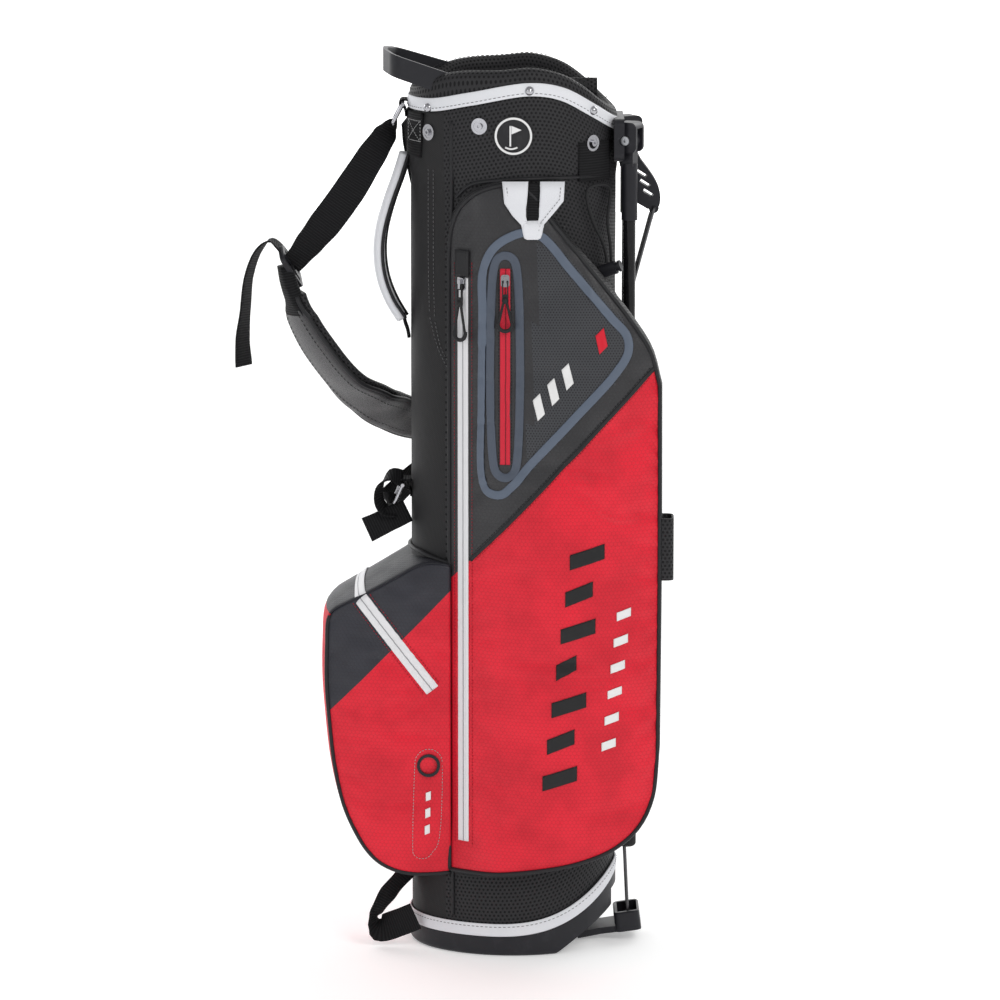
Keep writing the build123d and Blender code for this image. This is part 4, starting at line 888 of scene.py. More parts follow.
def puff(piece, held, pressure, slack, cap, frames=20):
    """Blows a sewn panel up as cloth, held along its seams, and keeps the shape it takes."""
    scene = bpy.context.scene
    rest = [v.co.copy() for v in piece.data.vertices]
    group = piece.vertex_groups.new(name="seams")
    group.add(list(held), 1.0, "REPLACE")
    cloth = piece.modifiers.new("cloth", "CLOTH")
    cloth.settings.quality = 6
    cloth.settings.mass = 0.12
    cloth.settings.tension_stiffness = 12
    cloth.settings.compression_stiffness = 12
    cloth.settings.shear_stiffness = 5
    cloth.settings.bending_stiffness = 0.6
    cloth.settings.vertex_group_mass = "seams"
    cloth.settings.shrink_min = -slack
    cloth.settings.use_pressure = True
    cloth.settings.uniform_pressure_force = pressure
    cloth.settings.effector_weights.gravity = 0.0
    cloth.point_cache.frame_start, cloth.point_cache.frame_end = 1, frames
    for step in range(1, frames + 1):
        scene.frame_set(step)
    shown = piece.evaluated_get(bpy.context.evaluated_depsgraph_get())
    moved = [v.co.copy() for v in shown.data.vertices]
    piece.modifiers.remove(cloth)
    piece.vertex_groups.remove(group)
    for vertex, old, new in zip(piece.data.vertices, rest, moved):
        move = new - old
        if move.length > cap * MM:
            move *= cap * MM / move.length
        vertex.co = old + move
    scene.frame_set(1)
    piece.data.update()


# ---------------------------------------------------------------- clothing pocket
POCKET_TOP = POCKET_HIGH.z
FULL = -POCKET_LOW.y  # deepest point of its face
RIGHT = POCKET_HIGH.x
GUSSET_BACK = 56.0


def face_depth(x, z):
    """Depth of the clothing pocket's face."""
    across = (
        (SEAM_X, skin_depth(SEAM_X) + 2), (SEAM_X + 6, skin_depth(SEAM_X) + 9), (SEAM_X + 20, FULL - 24),
        (SEAM_X + 38, FULL - 11), (SEAM_X + 52, FULL - 4), (SEAM_X + 90, FULL - 1), (RIGHT - 50, FULL - 1),
        (RIGHT - 18, FULL - 8), (RIGHT, FULL - 20),
    )
    upright = (
        (POCKET_LOW.z - 10, FULL - 6), (POCKET_LOW.z + 60, FULL), (POCKET_TOP - 480, FULL),
        (POCKET_TOP - 290, FULL - 4), (POCKET_TOP - 75, FULL - 17), (POCKET_TOP + 5, FULL - 24),
    )
    a, b = between(across, x), between(upright, z)
    soft = 5.0
    share = max(0.0, min(1.0, 0.5 + 0.5 * (b - a) / soft))
    return a * share + b * (1 - share) - soft * share * (1 - share)


POCKET_EDGES = {
    "bottom": [(SEAM_X, 86), (-20, 88), (24, 92), (64, 100), (98, 114), (124, 136), (138, 164),
               (RIGHT - 1, 214)],
    "right": [(RIGHT - 1, 214), (RIGHT, 400), (RIGHT - 0.5, 577)],
    "top": [
        (SEAM_X, 700), (SEAM_X + 2, 728), (SEAM_X + 10, 750), (SEAM_X + 26, 766), (SEAM_X + 46, 773),
        (-2, 775), (16, 767), (34, 743), (60, 711), (87, 678), (118, 638), (134, 612), (RIGHT - 0.5, 577),
    ],
    "left": [(SEAM_X, 86), (SEAM_X, 700)],
}
ZIP_X = SEAM_X + 14.0
PHONE_X = SEAM_X + 55.0
SEAM_SLOPE = (597.1 - 404.0) / (139.7 + 41.0)


def pocket_seam(x):
    """Height of the slanted seam between the grey and the red cloth."""
    return 404.0 + SEAM_SLOPE * (x + 41.0)


def inside_weld(x, z):
    """True inside the welded phone patch."""
    if not (-30 < x < 108 and 478 < z < 722):
        return False
    return z > pocket_seam(x) + 34 and z < 735 - (x - 26) * 1.14


def clothing_pocket():
    """Front panel with its punched patch, side wall and piping of the clothing pocket."""
    wide, high = 34, 112
    rows = coons(*(POCKET_EDGES[k] for k in ("bottom", "right", "top", "left")), wide, high)
    rows = [[Vector((x, -face_depth(x, z), z)) for x, z in row] for row in rows]

    def punched(middle):
        return 1 if inside_weld(middle.x, middle.z) and middle.x > 20 + 0.05 * (middle.z - 600) else 0

    front = grid("clothing_pocket_front", rows, ["pocket", "punched"], pick=punched,
                 uv=lambda p: (p[0], p[2]))
    held = set()
    for j in range(high + 1):
        for i in range(wide + 1):
            x, z = rows[j][i].x, rows[j][i].z
            edge = i in (0, wide) or j in (0, high)
            on_zip = abs(x - ZIP_X) < 7.5 and z < POCKET_TOP - 70
            on_phone = abs(x - PHONE_X) < 9 and POCKET_TOP - 285 < z < POCKET_TOP - 70
            if edge or on_zip or on_phone or x < ZIP_X:
                held.add(j * (wide + 1) + i)
    puff(front, held, 2.2, 0.012, 9.0)
    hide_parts("apparel_pocket")
    ground = Ground(front)
    smoother(front)
    thicken(front, 1.0)

    edge = [rows[0][i] for i in range(wide)] + [rows[j][wide] for j in range(high)]
    edge += [rows[high][i] for i in range(wide, 0, -1)] + [rows[high - j][0] for j in range(high + 1)]
    wall = [p.copy() for p in edge]
    wall_rows = []
    for k in range(7):
        row = []
        for point in wall:
            if point.x > 96:
                back = Vector((point.x - 3, -GUSSET_BACK, point.z))
                end = Vector((80, -GUSSET_BACK - 1.5, min(max(point.z, 92), 690)))
            else:
                back = Vector((point.x, -skin_depth(point.x) - 0.8, point.z))
                end = back.copy()
            share = min(1.0, k / 5)
            spot = point.lerp(back, share) if k < 6 else end
            middle = Vector((35, 0, min(max(point.z, 230), 560)))
            away = Vector((point.x, 0, point.z)) - middle
            away = away.normalized() if away.length > 1 else Vector((1, 0, 0))
            if point.x > SEAM_X + 3:
                spot = spot + away * (3.4 * math.sin(math.pi * share)) * (1 if k < 6 else 0)
            row.append(spot)
        wall_rows.append(row)
    gusset = grid("clothing_pocket_wall", wall_rows, "mesh")
    thicken(gusset, 1.0)
    piping = tube("clothing_pocket_piping", even([p + Vector((0, -0.6, 0)) for p in edge], 3.0), 2.1,
                  "piping")
    return ground


def pocket_details(ground):
    """Seams, weld bands and prints on the clothing pocket's front."""
    seam_path, outs = ground.lay([(-42, pocket_seam(-42)), (50, pocket_seam(50)), (139, pocket_seam(139))],
                                 3.0, 0.5)
    seam = sweep("pocket_slant_seam", seam_path, outs, strap_section(4.2, 1.2, 0.4), "piping")
    for off, name in ((4.6, "high"), (-4.6, "low")):
        path, outs = ground.lay([(-38, pocket_seam(-38) + off), (136, pocket_seam(136) + off)], 3.0, 0.3)
        row = stitches(f"pocket_slant_stitches_{name}", path, outs,
                       "black_thread" if off > 0 else "red_thread", 3.6, 2.4, 0.3)
    band_line = [
        (-30.0, 650), (-29.5, 690), (-20, 712), (-4, 724), (16, 729), (28, 724), (60, 687), (96, 645),
        (111, 627), (112, 612), (100, 592), (60, 548), (20, 505), (0, 481), (-12, 471), (-25, 473),
        (-30.5, 486),
        (-31, 560),
    ]
    path, outs = ground.lay(band_line, 3.0, 0.6, closed=True)
    weld = sweep("phone_patch_weld", path, outs, strap_section(8.6, 1.4, 0.3), "weld", closed=True)
    x, top, low = PHONE_X, POCKET_TOP - 69, POCKET_TOP - 287
    frame_line = [(x - 11, top - 12), (x - 7, top - 3), (x, top), (x + 7, top - 3), (x + 11, top - 12),
                  (x + 11, low + 12), (x + 7, low + 3), (x, low), (x - 7, low + 3), (x - 11, low + 12)]
    path, outs = ground.lay(frame_line, 2.5, 0.6, closed=True)
    rim = sweep("phone_zip_weld", path, outs, strap_section(8.5, 1.4, 0.35), "weld_dark", closed=True)

    marks = [(0, 34), (1, 27), (2, 34), (3, 20), (4, 34), (5, 27), (6, 34)]
    for k, width in marks:
        z, left = 176 + 37 * k, 29 + 4.4 * k
        slant = 11
        ground.decal(f"pocket_print_slash_{k}", [(left, z), (left + width, z + slant),
                                                 (left + width, z + slant + 15),
                     (left, z + 15)], "print_black", "red_fabric")
    for k in range(6):
        z, left = 216 + 26 * k, 87 + 2.9 * k
        ground.decal(f"pocket_print_dash_{k}", [(left, z), (left + 14, z + 4.5), (left + 14, z + 13),
                                                (left, z + 8.5)],
                     "print_white", "red_fabric")
    for k in range(3):
        x, z = 24 + 14 * k, 545 + 15 * k
        ground.decal(f"patch_print_bar_{k}", [(x, z), (x + 7, z + 7), (x + 7 - 5, z + 27), (x - 5, z + 20)],
                     "print_white", "grey_fabric")
    ground.decal("patch_print_bar_red", [(84, 610), (92, 618), (88, 636), (80, 628)], "print_red",
                 "grey_fabric")


def zip_piece(name, ground, x, top, low, width, finish, node, thread, row_gap):
    """Coated zip tape laid on a panel, with a row of stitches on each side of it."""
    path, outs = ground.lay([(x, low), (x, (low + top) / 2), (x, top)], 4.0, 0.55)
    tape = sweep(name, path, outs, strap_section(width, 1.2, 0.35), finish)
    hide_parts(node)
    for side in (-1, 1):
        path, outs = ground.lay([(x + side * row_gap, low - 3), (x + side * row_gap, top + 3)], 3.0, 0.25)
        made = stitches(f"{name}_stitches_{'left' if side < 0 else 'right'}", path, outs, thread, 3.2, 2.2,
                        0.34)


def zip_garage(ground):
    """Black patch over the top end of the long zip."""
    rows = []
    for j in range(9):
        z = POCKET_TOP - 92 + 27 * j / 8
        rows.append([ground.hit(ZIP_X - 6.5 + 13 * i / 6, z, 1.6)[0] for i in range(7)])
    patch = grid("clothing_zip_garage", rows, "piping")
    thicken(patch, 1.2, False)


# ---------------------------------------------------------------- ball pocket
BALL_TOP = BALL_HIGH.z
BALL_DEEP = BALL_HIGH.y
BALL_TOP_LINE = [
    (SEAM_X + 1, BALL_TOP - 29), (-82, BALL_TOP - 27), (-97, BALL_TOP - 31), (-113, BALL_TOP - 40),
    (-132, BALL_TOP - 51),
    (-150, BALL_TOP - 61), (-167, BALL_TOP - 70), (-177, BALL_TOP - 76), (-183, BALL_TOP - 84),
]
BALL_FRONT_LINE = [
    (-183, BALL_TOP - 84), (-185, BALL_TOP - 112), (-185.5, BALL_TOP - 150), (-183, 236), (-178, 190),
    (-169, 150),
    (-158, 124), (-146, 104),
]
BALL_LOW_LINE = [(-146, 104), (-134, 92), (-118, 84), (-100, 80.5), (-80, 80.5), (SEAM_X + 1, 82)]
BALL_ZIP = ((-151.5, BALL_TOP - 61.5), (-80, BALL_TOP - 154))


TOP_TURN = math.radians(64)


def side_depth(x, z, crown=0.0):
    """Depth of the ball pocket's side panel: full by the tube, drawn in towards its front."""
    front = max(0.0, min(1.0, (-100 - x) / 85))
    low = max(0.0, min(1.0, (150 - z) / 80))
    return BALL_DEEP - 3.0 - 17.0 * front**1.6 - 7.0 * low**1.5 + crown


def ball_seam(x, z):
    """1 on the grey cloth above the pocket's bent seam."""
    return z > (x + 169) * 1.03 + 259


def strip_seam(x, z):
    """1 on the grey cloth of the strip, above the front piping's top end."""
    return z > BALL_TOP - 80


def valuables_seam(x, z):
    """1 on the grey cloth of the valuables pocket."""
    return z > 496 + (x + 36) * 0.5


def ball_pocket():
    """Two side panels, the crowned strip round the front, piping and the slanted zips."""
    wide, high = 26, 60
    grounds = {}
    front_edge = spline([(x, 0, z) for x, z in BALL_TOP_LINE[:-1] + BALL_FRONT_LINE[:-1] + BALL_LOW_LINE],
                        5.0)
    for side, where in ((-1, "near"), (1, "far")):
        rows = coons(BALL_LOW_LINE, [(SEAM_X + 1, 82), (SEAM_X + 1, BALL_TOP - 29)],
                     list(reversed(BALL_TOP_LINE)),
                     list(reversed(BALL_FRONT_LINE)), wide, high)
        rows = [[Vector((x, side * side_depth(x, z), z)) for x, z in row] for row in rows]
        panel = grid(f"ball_pocket_side_{where}", rows, "ball", flip=side > 0, uv=lambda p: (p[0], p[2]))
        (ax, az), (bx, bz) = BALL_ZIP
        held = set()
        for j in range(high + 1):
            for i in range(wide + 1):
                p = rows[j][i]
                share = ((p.x - ax) * (bx - ax) + (p.z - az) * (bz - az)) / ((bx - ax) ** 2 + (bz - az) ** 2)
                near_zip = abs((p.x - ax) * (bz - az) - (p.z - az) * (bx - ax)) / math.hypot(bx - ax,
                                                                                             bz - az) < 6
                if i in (0, wide) or j in (0, high) or (near_zip and -0.1 < share < 1.05):
                    held.add(j * (wide + 1) + i)
        puff(panel, held, 2.0, 0.012, 5.0)
        if side < 0:
            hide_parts("ball_pocket")
        grounds[side] = Ground(panel, side)
        smoother(panel)
        thicken(panel, 1.0)
        edge = [Vector((p.x, side * (side_depth(p.x, p.z) + 0.4), p.z)) for p in front_edge]
        corner = next(k for k, p in enumerate(edge) if p.z < BALL_TOP - 80)
        piping = tube(f"ball_pocket_piping_{where}", edge[corner:], 2.0, "piping")
    centre = Vector((-95, 0, 260))
    rows = []
    for k in range(15):
        across = -1 + 2 * k / 14
        row = []
        for i, p in enumerate(front_edge):
            tangent = (front_edge[min(i + 1, len(front_edge) - 1)] - front_edge[max(i - 1, 0)]).normalized()
            out = Vector((tangent.z, 0, -tangent.x))
            if out.dot(p - centre) < 0:
                out = -out
            share = i / (len(front_edge) - 1)
            fade = min(1.0, share * 9, (1 - share) * 5)
            front = max(0.0, min(1.0, (BALL_TOP - 50 - p.z) / 60)) if share < 0.5 else 1.0
            crown = (1 - across * across) * (5.0 * front + 4.0 * (1 - front)) * fade
            row.append(p + out * crown + Vector((0, across * side_depth(p.x, p.z), 0)))
        rows.append(row)
    # The strip's grey finish is painted darker than the side panels' grey, as shade for its upward face.
    strip = grid("ball_pocket_strip", rows, "ball_strip")
    thicken(strip, 1.0)
    for side, where in ((-1, "near"), (1, "far")):
        ground = grounds[side]
        (ax, az), (bx, bz) = BALL_ZIP
        along = Vector((bx - ax, 0, bz - az)).normalized()
        aside = Vector((-along.z, 0, along.x)) * 9.6
        for s in (-1, 1):
            knots = [(ax + s * aside.x, az + s * aside.z), (bx + s * aside.x, bz + s * aside.z)]
            path, outs = ground.lay(knots, 3.0, 0.3)
            made = stitches(f"ball_zip_{where}_stitches_{s + 1}", path, outs, "red_thread", 3.4, 2.2, 0.36)
    join = []
    for k in range(49):
        p, out = skin(math.pi - TOP_TURN + 2 * TOP_TURN * k / 48, 1.2)
        share = max(0.0, min(1.0, (SEAM_X + 1 - p.x) / 28))
        join.append(Vector((p.x, p.y,
                            BALL_TOP - 27.5 + 4.0 * share + 4.0 * (1 - (p.y / BALL_DEEP) ** 2) * share)))
    attach = tube("ball_pocket_attach", join, 2.2, "piping")
    (ax, az), _ = BALL_ZIP
    up, up_out = grounds[-1].lay(list(reversed(BALL_ZIP)), 3.0, 0.8)
    down, down_out = grounds[1].lay(list(BALL_ZIP), 3.0, 0.8)
    over = []
    for k in range(1, 24):
        across = -1 + k / 12
        rise = 4.0 * (1 - across * across) + 0.9
        over.append(Vector((ax - 0.62 * rise, across * side_depth(ax, az), az + 0.78 * rise)))
    path = up[:-1] + over + down[1:]
    outs = up_out[:-1] + [Vector((-0.62, 0, 0.78))] * len(over) + down_out[1:]
    tape = sweep("ball_zip", path, outs, strap_section(14.5, 1.3, 0.35), "white_zip")
    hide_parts("ball_zip_tape")
    near = grounds[-1]
    pen = []
    for k in range(13):
        a = math.pi * k / 12
        pen.append((-84 + 13.5 * math.cos(a), 196 + 13.5 * math.sin(a)))
    pen += [(-100, 112)] + [(-90.5 + 9.5 * math.cos(a), 105 + 8 * math.sin(a)) for a in
                            [math.pi + math.pi * k / 10 for k in range(1, 10)]] + [(-75, 112)]
    path, outs = near.lay(pen, 2.5, 0.35, closed=True)
    made = stitches("pen_sleeve_stitches", path + [path[0]], outs + [outs[0]], "white_thread", 3.2, 2.2, 0.32)
    for k in range(3):
        x, z = -88 + 0.6 * k, 122 + 17 * k
        near.decal(f"pen_sleeve_print_{k}", [(x, z), (x + 5, z + 2), (x + 5, z + 11), (x, z + 9)],
                   "print_white",
                   "red_fabric")


# ---------------------------------------------------------------- tab, handle, straps and loops
def towel_tab(ground):
    """Two-legged white tab with webbing through its slot, and a stitched square below."""
    def spot(x, z, lift=3.0):
        proud = Vector((x, -face_depth(max(x, -20), min(z, POCKET_TOP - 6)) - lift, z))
        if z < POCKET_TOP - 8:
            proud.y = min(proud.y, ground.hit(x, z, 1.2)[0].y)
        return proud

    left = [(-11, 778), (-10, 768), (-9, 757), (-1, 745), (7.5, 736), (8.2, 733)]
    inner_left = [(14.5, 778), (14, 768), (13, 758), (12, 751.5), (12, 744), (13.5, 738)]
    inner_right = [(26, 778), (26, 768), (25.5, 758), (25, 751.5), (25, 744), (23.5, 738)]
    right = [(50, 778), (49.5, 768), (49, 759), (40, 748), (29.5, 736), (29, 733)]
    for name, near, far in (("left", left, inner_left), ("right", inner_right, right)):
        rows = []
        for (ax, az), (bx, bz) in zip(near, far):
            a, b = Vector((ax, 0, az)), Vector((bx, 0, bz))
            rows.append([spot(*a.lerp(b, k / 8).xz) for k in range(9)])
        rows.reverse()
        leg = grid(f"towel_tab_leg_{name}", rows, "white")
        thicken(leg, 1.6, False)
    rows = []
    for z, ax, bx in ((721.5, 13, 24), (723, 10.5, 26.5), (727, 9.4, 28), (733, 8.2, 29), (740, 9, 28)):
        rows.append([spot(ax + (bx - ax) * k / 8, z) for k in range(9)])
    foot = grid("towel_tab_foot", rows, "white")
    thicken(foot, 1.6, False)
    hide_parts("towel_tab")
    path = [spot(19 + k / 12, 738 + 3.2 * k, 1.6) for k in range(13)]
    outs = [Vector((0, -1, 0))] * len(path)
    web = sweep("towel_tab_webbing", path, outs, strap_section(11, 1.4), "webbing")
    for name, knots in (("left", [(-6.5, 773), (-5, 759), (10.5, 738), (13, 727)]),
                        ("right", [(46, 773), (45, 761), (26.5, 738), (24, 727)])):
        path = [spot(p.x, p.z, 5.0) for p in even([Vector((x, 0, z)) for x, z in knots], 2.5)]
        outs = [Vector((0, -1, 0))] * len(path)
        made = stitches(f"towel_tab_stitches_{name}", path, outs, "grey_thread", 3.6, 2.4, 0.3)


def ribbon(name, stations, thick, finish, crown=0.0, step=3.0):
    """Webbing or a pad through (centre, width direction, width) stations, with rounded edges."""
    centres = [Vector(s[0]) for s in stations]
    run = lengths(centres)
    path = spline(centres, step)
    total = lengths(path)
    outs, widths = [], []
    for i in range(len(path)):
        place = total[i] * run[-1] / total[-1]
        k = max(j for j in range(len(run)) if run[j] <= place + 1e-6)
        k = min(k, len(run) - 2)
        share = (place - run[k]) / (run[k + 1] - run[k])
        share = share * share * (3 - 2 * share)
        before, after = (Vector(stations[j][1]).normalized() for j in (k, k + 1))
        across = before.lerp(after, share).normalized()
        along = (path[min(i + 1, len(path) - 1)] - path[max(i - 1, 0)]).normalized()
        outs.append(across.cross(along).normalized())
        widths.append(stations[k][2] + (stations[k + 1][2] - stations[k][2]) * share)
    wide = stations[len(stations) // 2][2]
    piece = sweep(name, path, outs, strap_section(wide, thick, crown), finish,
                  widths=[w / wide for w in widths])
    return piece, path, outs, widths


def edge_rows(name, path, outs, widths, inset, lift, thread, step=3.6, ends=2):
    """Rows of stitches along both edges of a strap."""
    for side in (-1, 1):
        row = []
        for i, point in enumerate(path):
            along = (path[min(i + 1, len(path) - 1)] - path[max(i - 1, 0)]).normalized()
            row.append(point + along.cross(outs[i]) * (side * (widths[i] / 2 - inset)) + outs[i] * lift)
        made = stitches(f"{name}_stitches_{side + 1}", row[ends:-ends], outs[ends:-ends], thread, step,
                        step * 0.65, 0.34)


def straps():
    """Shoulder strap: webbing, free tail, padded strap, rear and lower webbing, and the base loop."""
    bow_x, bow_z = -118.8, 826.6
    upper = [
        ((bow_x + 0.6, 0, bow_z + 2.6), (0.2, 1, -0.1), 30),
        ((bow_x - 2.2, 0, bow_z - 2.5), (0.36, 0.9, -0.26), 31),
        ((bow_x - 8, -1, bow_z - 13), (0.56, 0.66, -0.45), 33),
        ((bow_x - 23, -3, bow_z - 36), (0.66, 0.5, -0.55), 34),
        ((bow_x - 44, -4, bow_z - 69), (0.72, 0.3, -0.6), 34),
        ((bow_x - 66, -5, bow_z - 99), (0.72, 0.3, -0.6), 34),
        ((bow_x - 82, -5, bow_z - 119), (0.66, 0.4, -0.62), 31),
        ((bow_x - 94, -4, bow_z - 134), (0.5, 0.5, -0.7), 27),
        ((bow_x - 102, -3, bow_z - 143), (0.42, 0.5, -0.76), 25),
    ]
    piece, *_ = ribbon("strap_upper_webbing", upper, 2.0, "webbing")
    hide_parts("strap_webbing")
    tail = [
        ((bow_x - 104, -3, bow_z - 137), (0.4, 0.8, -0.3), 26),
        ((bow_x - 113, -2, bow_z - 124), (0.2, 1, 0), 25),
        ((bow_x - 122, -3, bow_z - 118), (0.2, 1, 0), 25), ((bow_x - 133, -4, bow_z - 127), (0.3, 1, 0), 25),
        ((bow_x - 143, -5, bow_z - 152), (0.3, 0.9, 0), 25),
        ((bow_x - 147, -6, bow_z - 186), (0.35, 0.9, 0), 25),
        ((bow_x - 150, -6, bow_z - 217), (0.5, 0.85, 0.1), 25),
        ((bow_x - 149, -6, bow_z - 243), (0.6, 0.8, 0.15), 25),
    ]
    ribbon("strap_tail", tail, 1.8, "webbing")
    side = (-0.3, 0.88, -0.36)
    pad = [
        ((-219, -2, 655), (-0.2, 0.95, -0.2), 38), ((-212, 0, 630), side, 54), ((-194, 5, 597), side, 60),
        ((-170, 16, 565), side, 58), ((-143, 38, 541), (-0.4, 0.75, -0.5), 52),
        ((-119, 66, 524), (-0.5, 0.5, -0.7), 45),
        ((-94, 96, 512), (-0.4, 0.25, -0.85), 41), ((-62, 118, 506), (-0.1, 0.1, -1), 38),
        ((-40, 124, 505), (0, 0, -1), 36),
    ]
    piece, path, outs, widths = ribbon("strap_pad_body", pad, 9.0, "pad", 2.2)
    smoother(piece)
    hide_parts("strap_pad")
    inner = [p - o * 6.0 for p, o in zip(path, outs)]
    wide = pad[len(pad) // 2][2]
    lining = sweep("strap_pad_lining", inner, outs, strap_section(wide, 9.0, 0.5), "mesh",
                   widths=[w / wide for w in widths])
    edge_rows("strap_pad", path, outs, widths, 9.0, 5.4, "black_thread", 5.0, 6)
    for s in (-1, 1):
        line = []
        for i, point in enumerate(path):
            along = (path[min(i + 1, len(path) - 1)] - path[max(i - 1, 0)]).normalized()
            line.append(point + along.cross(outs[i]) * (s * (widths[i] / 2 - 0.6)))
        piping = tube(f"strap_pad_piping_{s + 1}", line, 2.2, "piping")
    top = [
        ((-226, -3, 684), (-0.2, 0.95, -0.2), 26), ((-223, -3, 668), (-0.2, 0.95, -0.2), 33),
        ((-218, -2, 652), (-0.2, 0.95, -0.2), 40), ((-213, -1, 636), side, 50),
    ]
    ribbon("strap_pad_wrap", top, 13.4, "webbing", 1.2)
    rear = [
        ((-46, 112, 538), (1, -0.2, 0), 30), ((-56, 104, 600), (0.9, 0.4, 0), 30),
        ((-72, 90, 690), (0.8, 0.6, 0), 30),
        ((-92, 64, 760), (0.6, 0.8, 0), 30), ((-103, 40, 806), (0.4, 0.9, 0), 30),
        ((-106, 33, 826), (0.36, 0.93, 0), 26),
    ]
    piece, *_ = ribbon("strap_rear_webbing", rear, 2.0, "webbing")
    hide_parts("strap_rear")
    x, z = -118.9, 445.9
    lower = [
        ((-68, 112, 470), (0, 0, 1), 25), ((-94, 86, 462), (-0.1, 0.1, 1), 25),
        ((-114, 50, 450), (-0.3, 0.2, 1), 25),
        ((x - 6, 22, z - 4), (-0.4, 0.6, 0.6), 25), ((x - 3, 0, z - 3.4), (0, 1, 0), 25),
        ((x + 2, 0, z - 2), (0, 1, 0), 25),
    ]
    piece, *_ = ribbon("strap_lower_webbing", lower, 2.0, "webbing")
    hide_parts("strap_lower")
    tail = [
        ((x + 14, -13, z - 7), (0.3, 0.5, 1), 24), ((x - 2, -16, z - 14), (0.3, 0.4, 1), 25),
        ((x - 16, -17, z - 21), (0.2, 0.3, 1), 25), ((x - 27, -18, z - 26), (0.1, 0.3, 1), 26),
    ]
    ribbon("strap_lower_tail", tail, 2.0, "webbing")
    bight = [
        ((x + 9, -6, z + 24), (0.5, 1, 0.4), 25), ((x - 3, -8, z + 27), (0.4, 1, 0.4), 25),
        ((x - 13, -9, z + 18), (0.4, 1, 0.3), 25), ((x - 15, -10, z + 3), (0.3, 1, 0.2), 25),
        ((x - 8, -10, z - 8), (0.3, 1, 0.2), 25), ((x + 3, -10, z - 10), (0.3, 1, 0.2), 24),
    ]
    ribbon("strap_lower_bight", bight, 2.0, "webbing")
    x = -TUBE_X
    loop = [
        ((x + 3, -30, 84), (0.9, 0.5, 0.5), 26), ((x - 6, -32, 72), (0.9, 0.5, 0.5), 27),
        ((x - 22, -36, 54), (0.85, 0.55, 0.4), 27),
        ((x - 35, -39, 34), (0.6, 0.75, 0.2), 27), ((x - 39, -39, 24), (0.25, 0.9, 0.25), 27),
        ((x - 33, -40, 17), (-0.3, 0.5, 0.8), 28), ((x - 12, -46, 24), (-0.35, 0.1, 0.9), 28),
        ((x + 4, -52, 32), (-0.3, 0.1, 0.9), 28),
    ]
    piece, *_ = ribbon("base_loop_webbing", loop, 2.0, "webbing")
    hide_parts("base_loop")


def ring_folds():
    """Tabs folded round both rings, and the stiff patch with its crossed stitching."""
    for where, (x, z) in (("top", (-108.5, 846)), ("low", (-110.0, 466))):
        reach = -TUBE_X - 3.6 - x if where == "top" else -TUBE_X + 0.4 - x
        bends = [math.radians(degrees) for degrees in range(80, 290, 15)]
        arc = [(x + 3.4 * math.cos(a), 0, z + 3.4 * math.sin(a)) for a in bends]
        knots = [(x + reach + 1.5, 0, z + 3.0)] + arc + [(x + reach - 1, 0, z - 6.5),
                                                         (x + reach - 0.2, 0, z - 13)]
        stations = [(k, (0, 1, 0), 26) for k in knots]
        piece, *_ = ribbon(f"ring_tab_{where}", stations, 1.8, "webbing", 0.0, 1.5)
        if where == "top":
            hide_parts("ring_tabs")
    rows = []
    for j in range(13):
        z = TALL - 92 + 44 * j / 12
        half = math.radians(33 + 3 * j / 12)
        rows.append([skin(math.pi - half + 2 * half * i / 24, 0.5)[0] + Vector((0, 0, z)) for i in range(25)])
    patch = grid("strap_anchor_patch", rows, "webbing")
    thicken(patch, 2.6, False)
    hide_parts("strap_anchor_top")
    for name, corners in (("box", [(14, 812), (14, 832), (34, 832), (34, 812), (14, 812)]),
                          ("cross_a", [(14, 812), (34, 832)]), ("cross_b", [(14, 832), (34, 812)])):
        path, outs = [], []
        for p in even([Vector((a, 0, b)) for a, b in corners], 2.0):
            point, out = skin(math.pi + math.radians(p.x), 3.5)
            path.append(point + Vector((0, 0, p.z)))
            outs.append(out)
        made = stitches(f"anchor_{name}_stitches", path, outs, "white_thread", 3.4, 2.4, 0.36)


def grab_handle():
    """Padded white band that bows out from the tube, black behind, on a webbing loop."""
    knots = [(-106.5, 0, 797), (-113, 0, 776), (-123, 0, 748), (-130.5, 0, 720), (-132.5, 0, 697),
             (-129.5, 0, 672),
             (-121, 0, 649), (-109.5, 0, 630)]
    stations = [(k, (0.1, 1, 0), 25 if 0 < i < len(knots) - 1 else 21) for i, k in enumerate(knots)]
    piece, path, outs, widths = ribbon("grab_handle_pad", stations, 9.0, "white", 1.6)
    smoother(piece)
    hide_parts("grab_handle")
    for s in (-1, 1):
        line = []
        for i, point in enumerate(path):
            along = (path[min(i + 1, len(path) - 1)] - path[max(i - 1, 0)]).normalized()
            line.append(point + along.cross(outs[i]) * (s * (widths[i] / 2 - 1.2)) - outs[i] * 4.4)
        piping = tube(f"grab_handle_piping_{s + 1}", line, 1.7, "piping")
    loop = [((-108.5, 0, 636), (0, 1, 0), 16), ((-107.5, 0, 628), (0, 1, 0), 16),
            ((-104.8, 0, 620), (0, 1, 0), 16),
            ((-103.4, 0, 612), (0, 1, 0), 16)]
    ribbon("grab_handle_loop", loop, 3.0, "webbing")


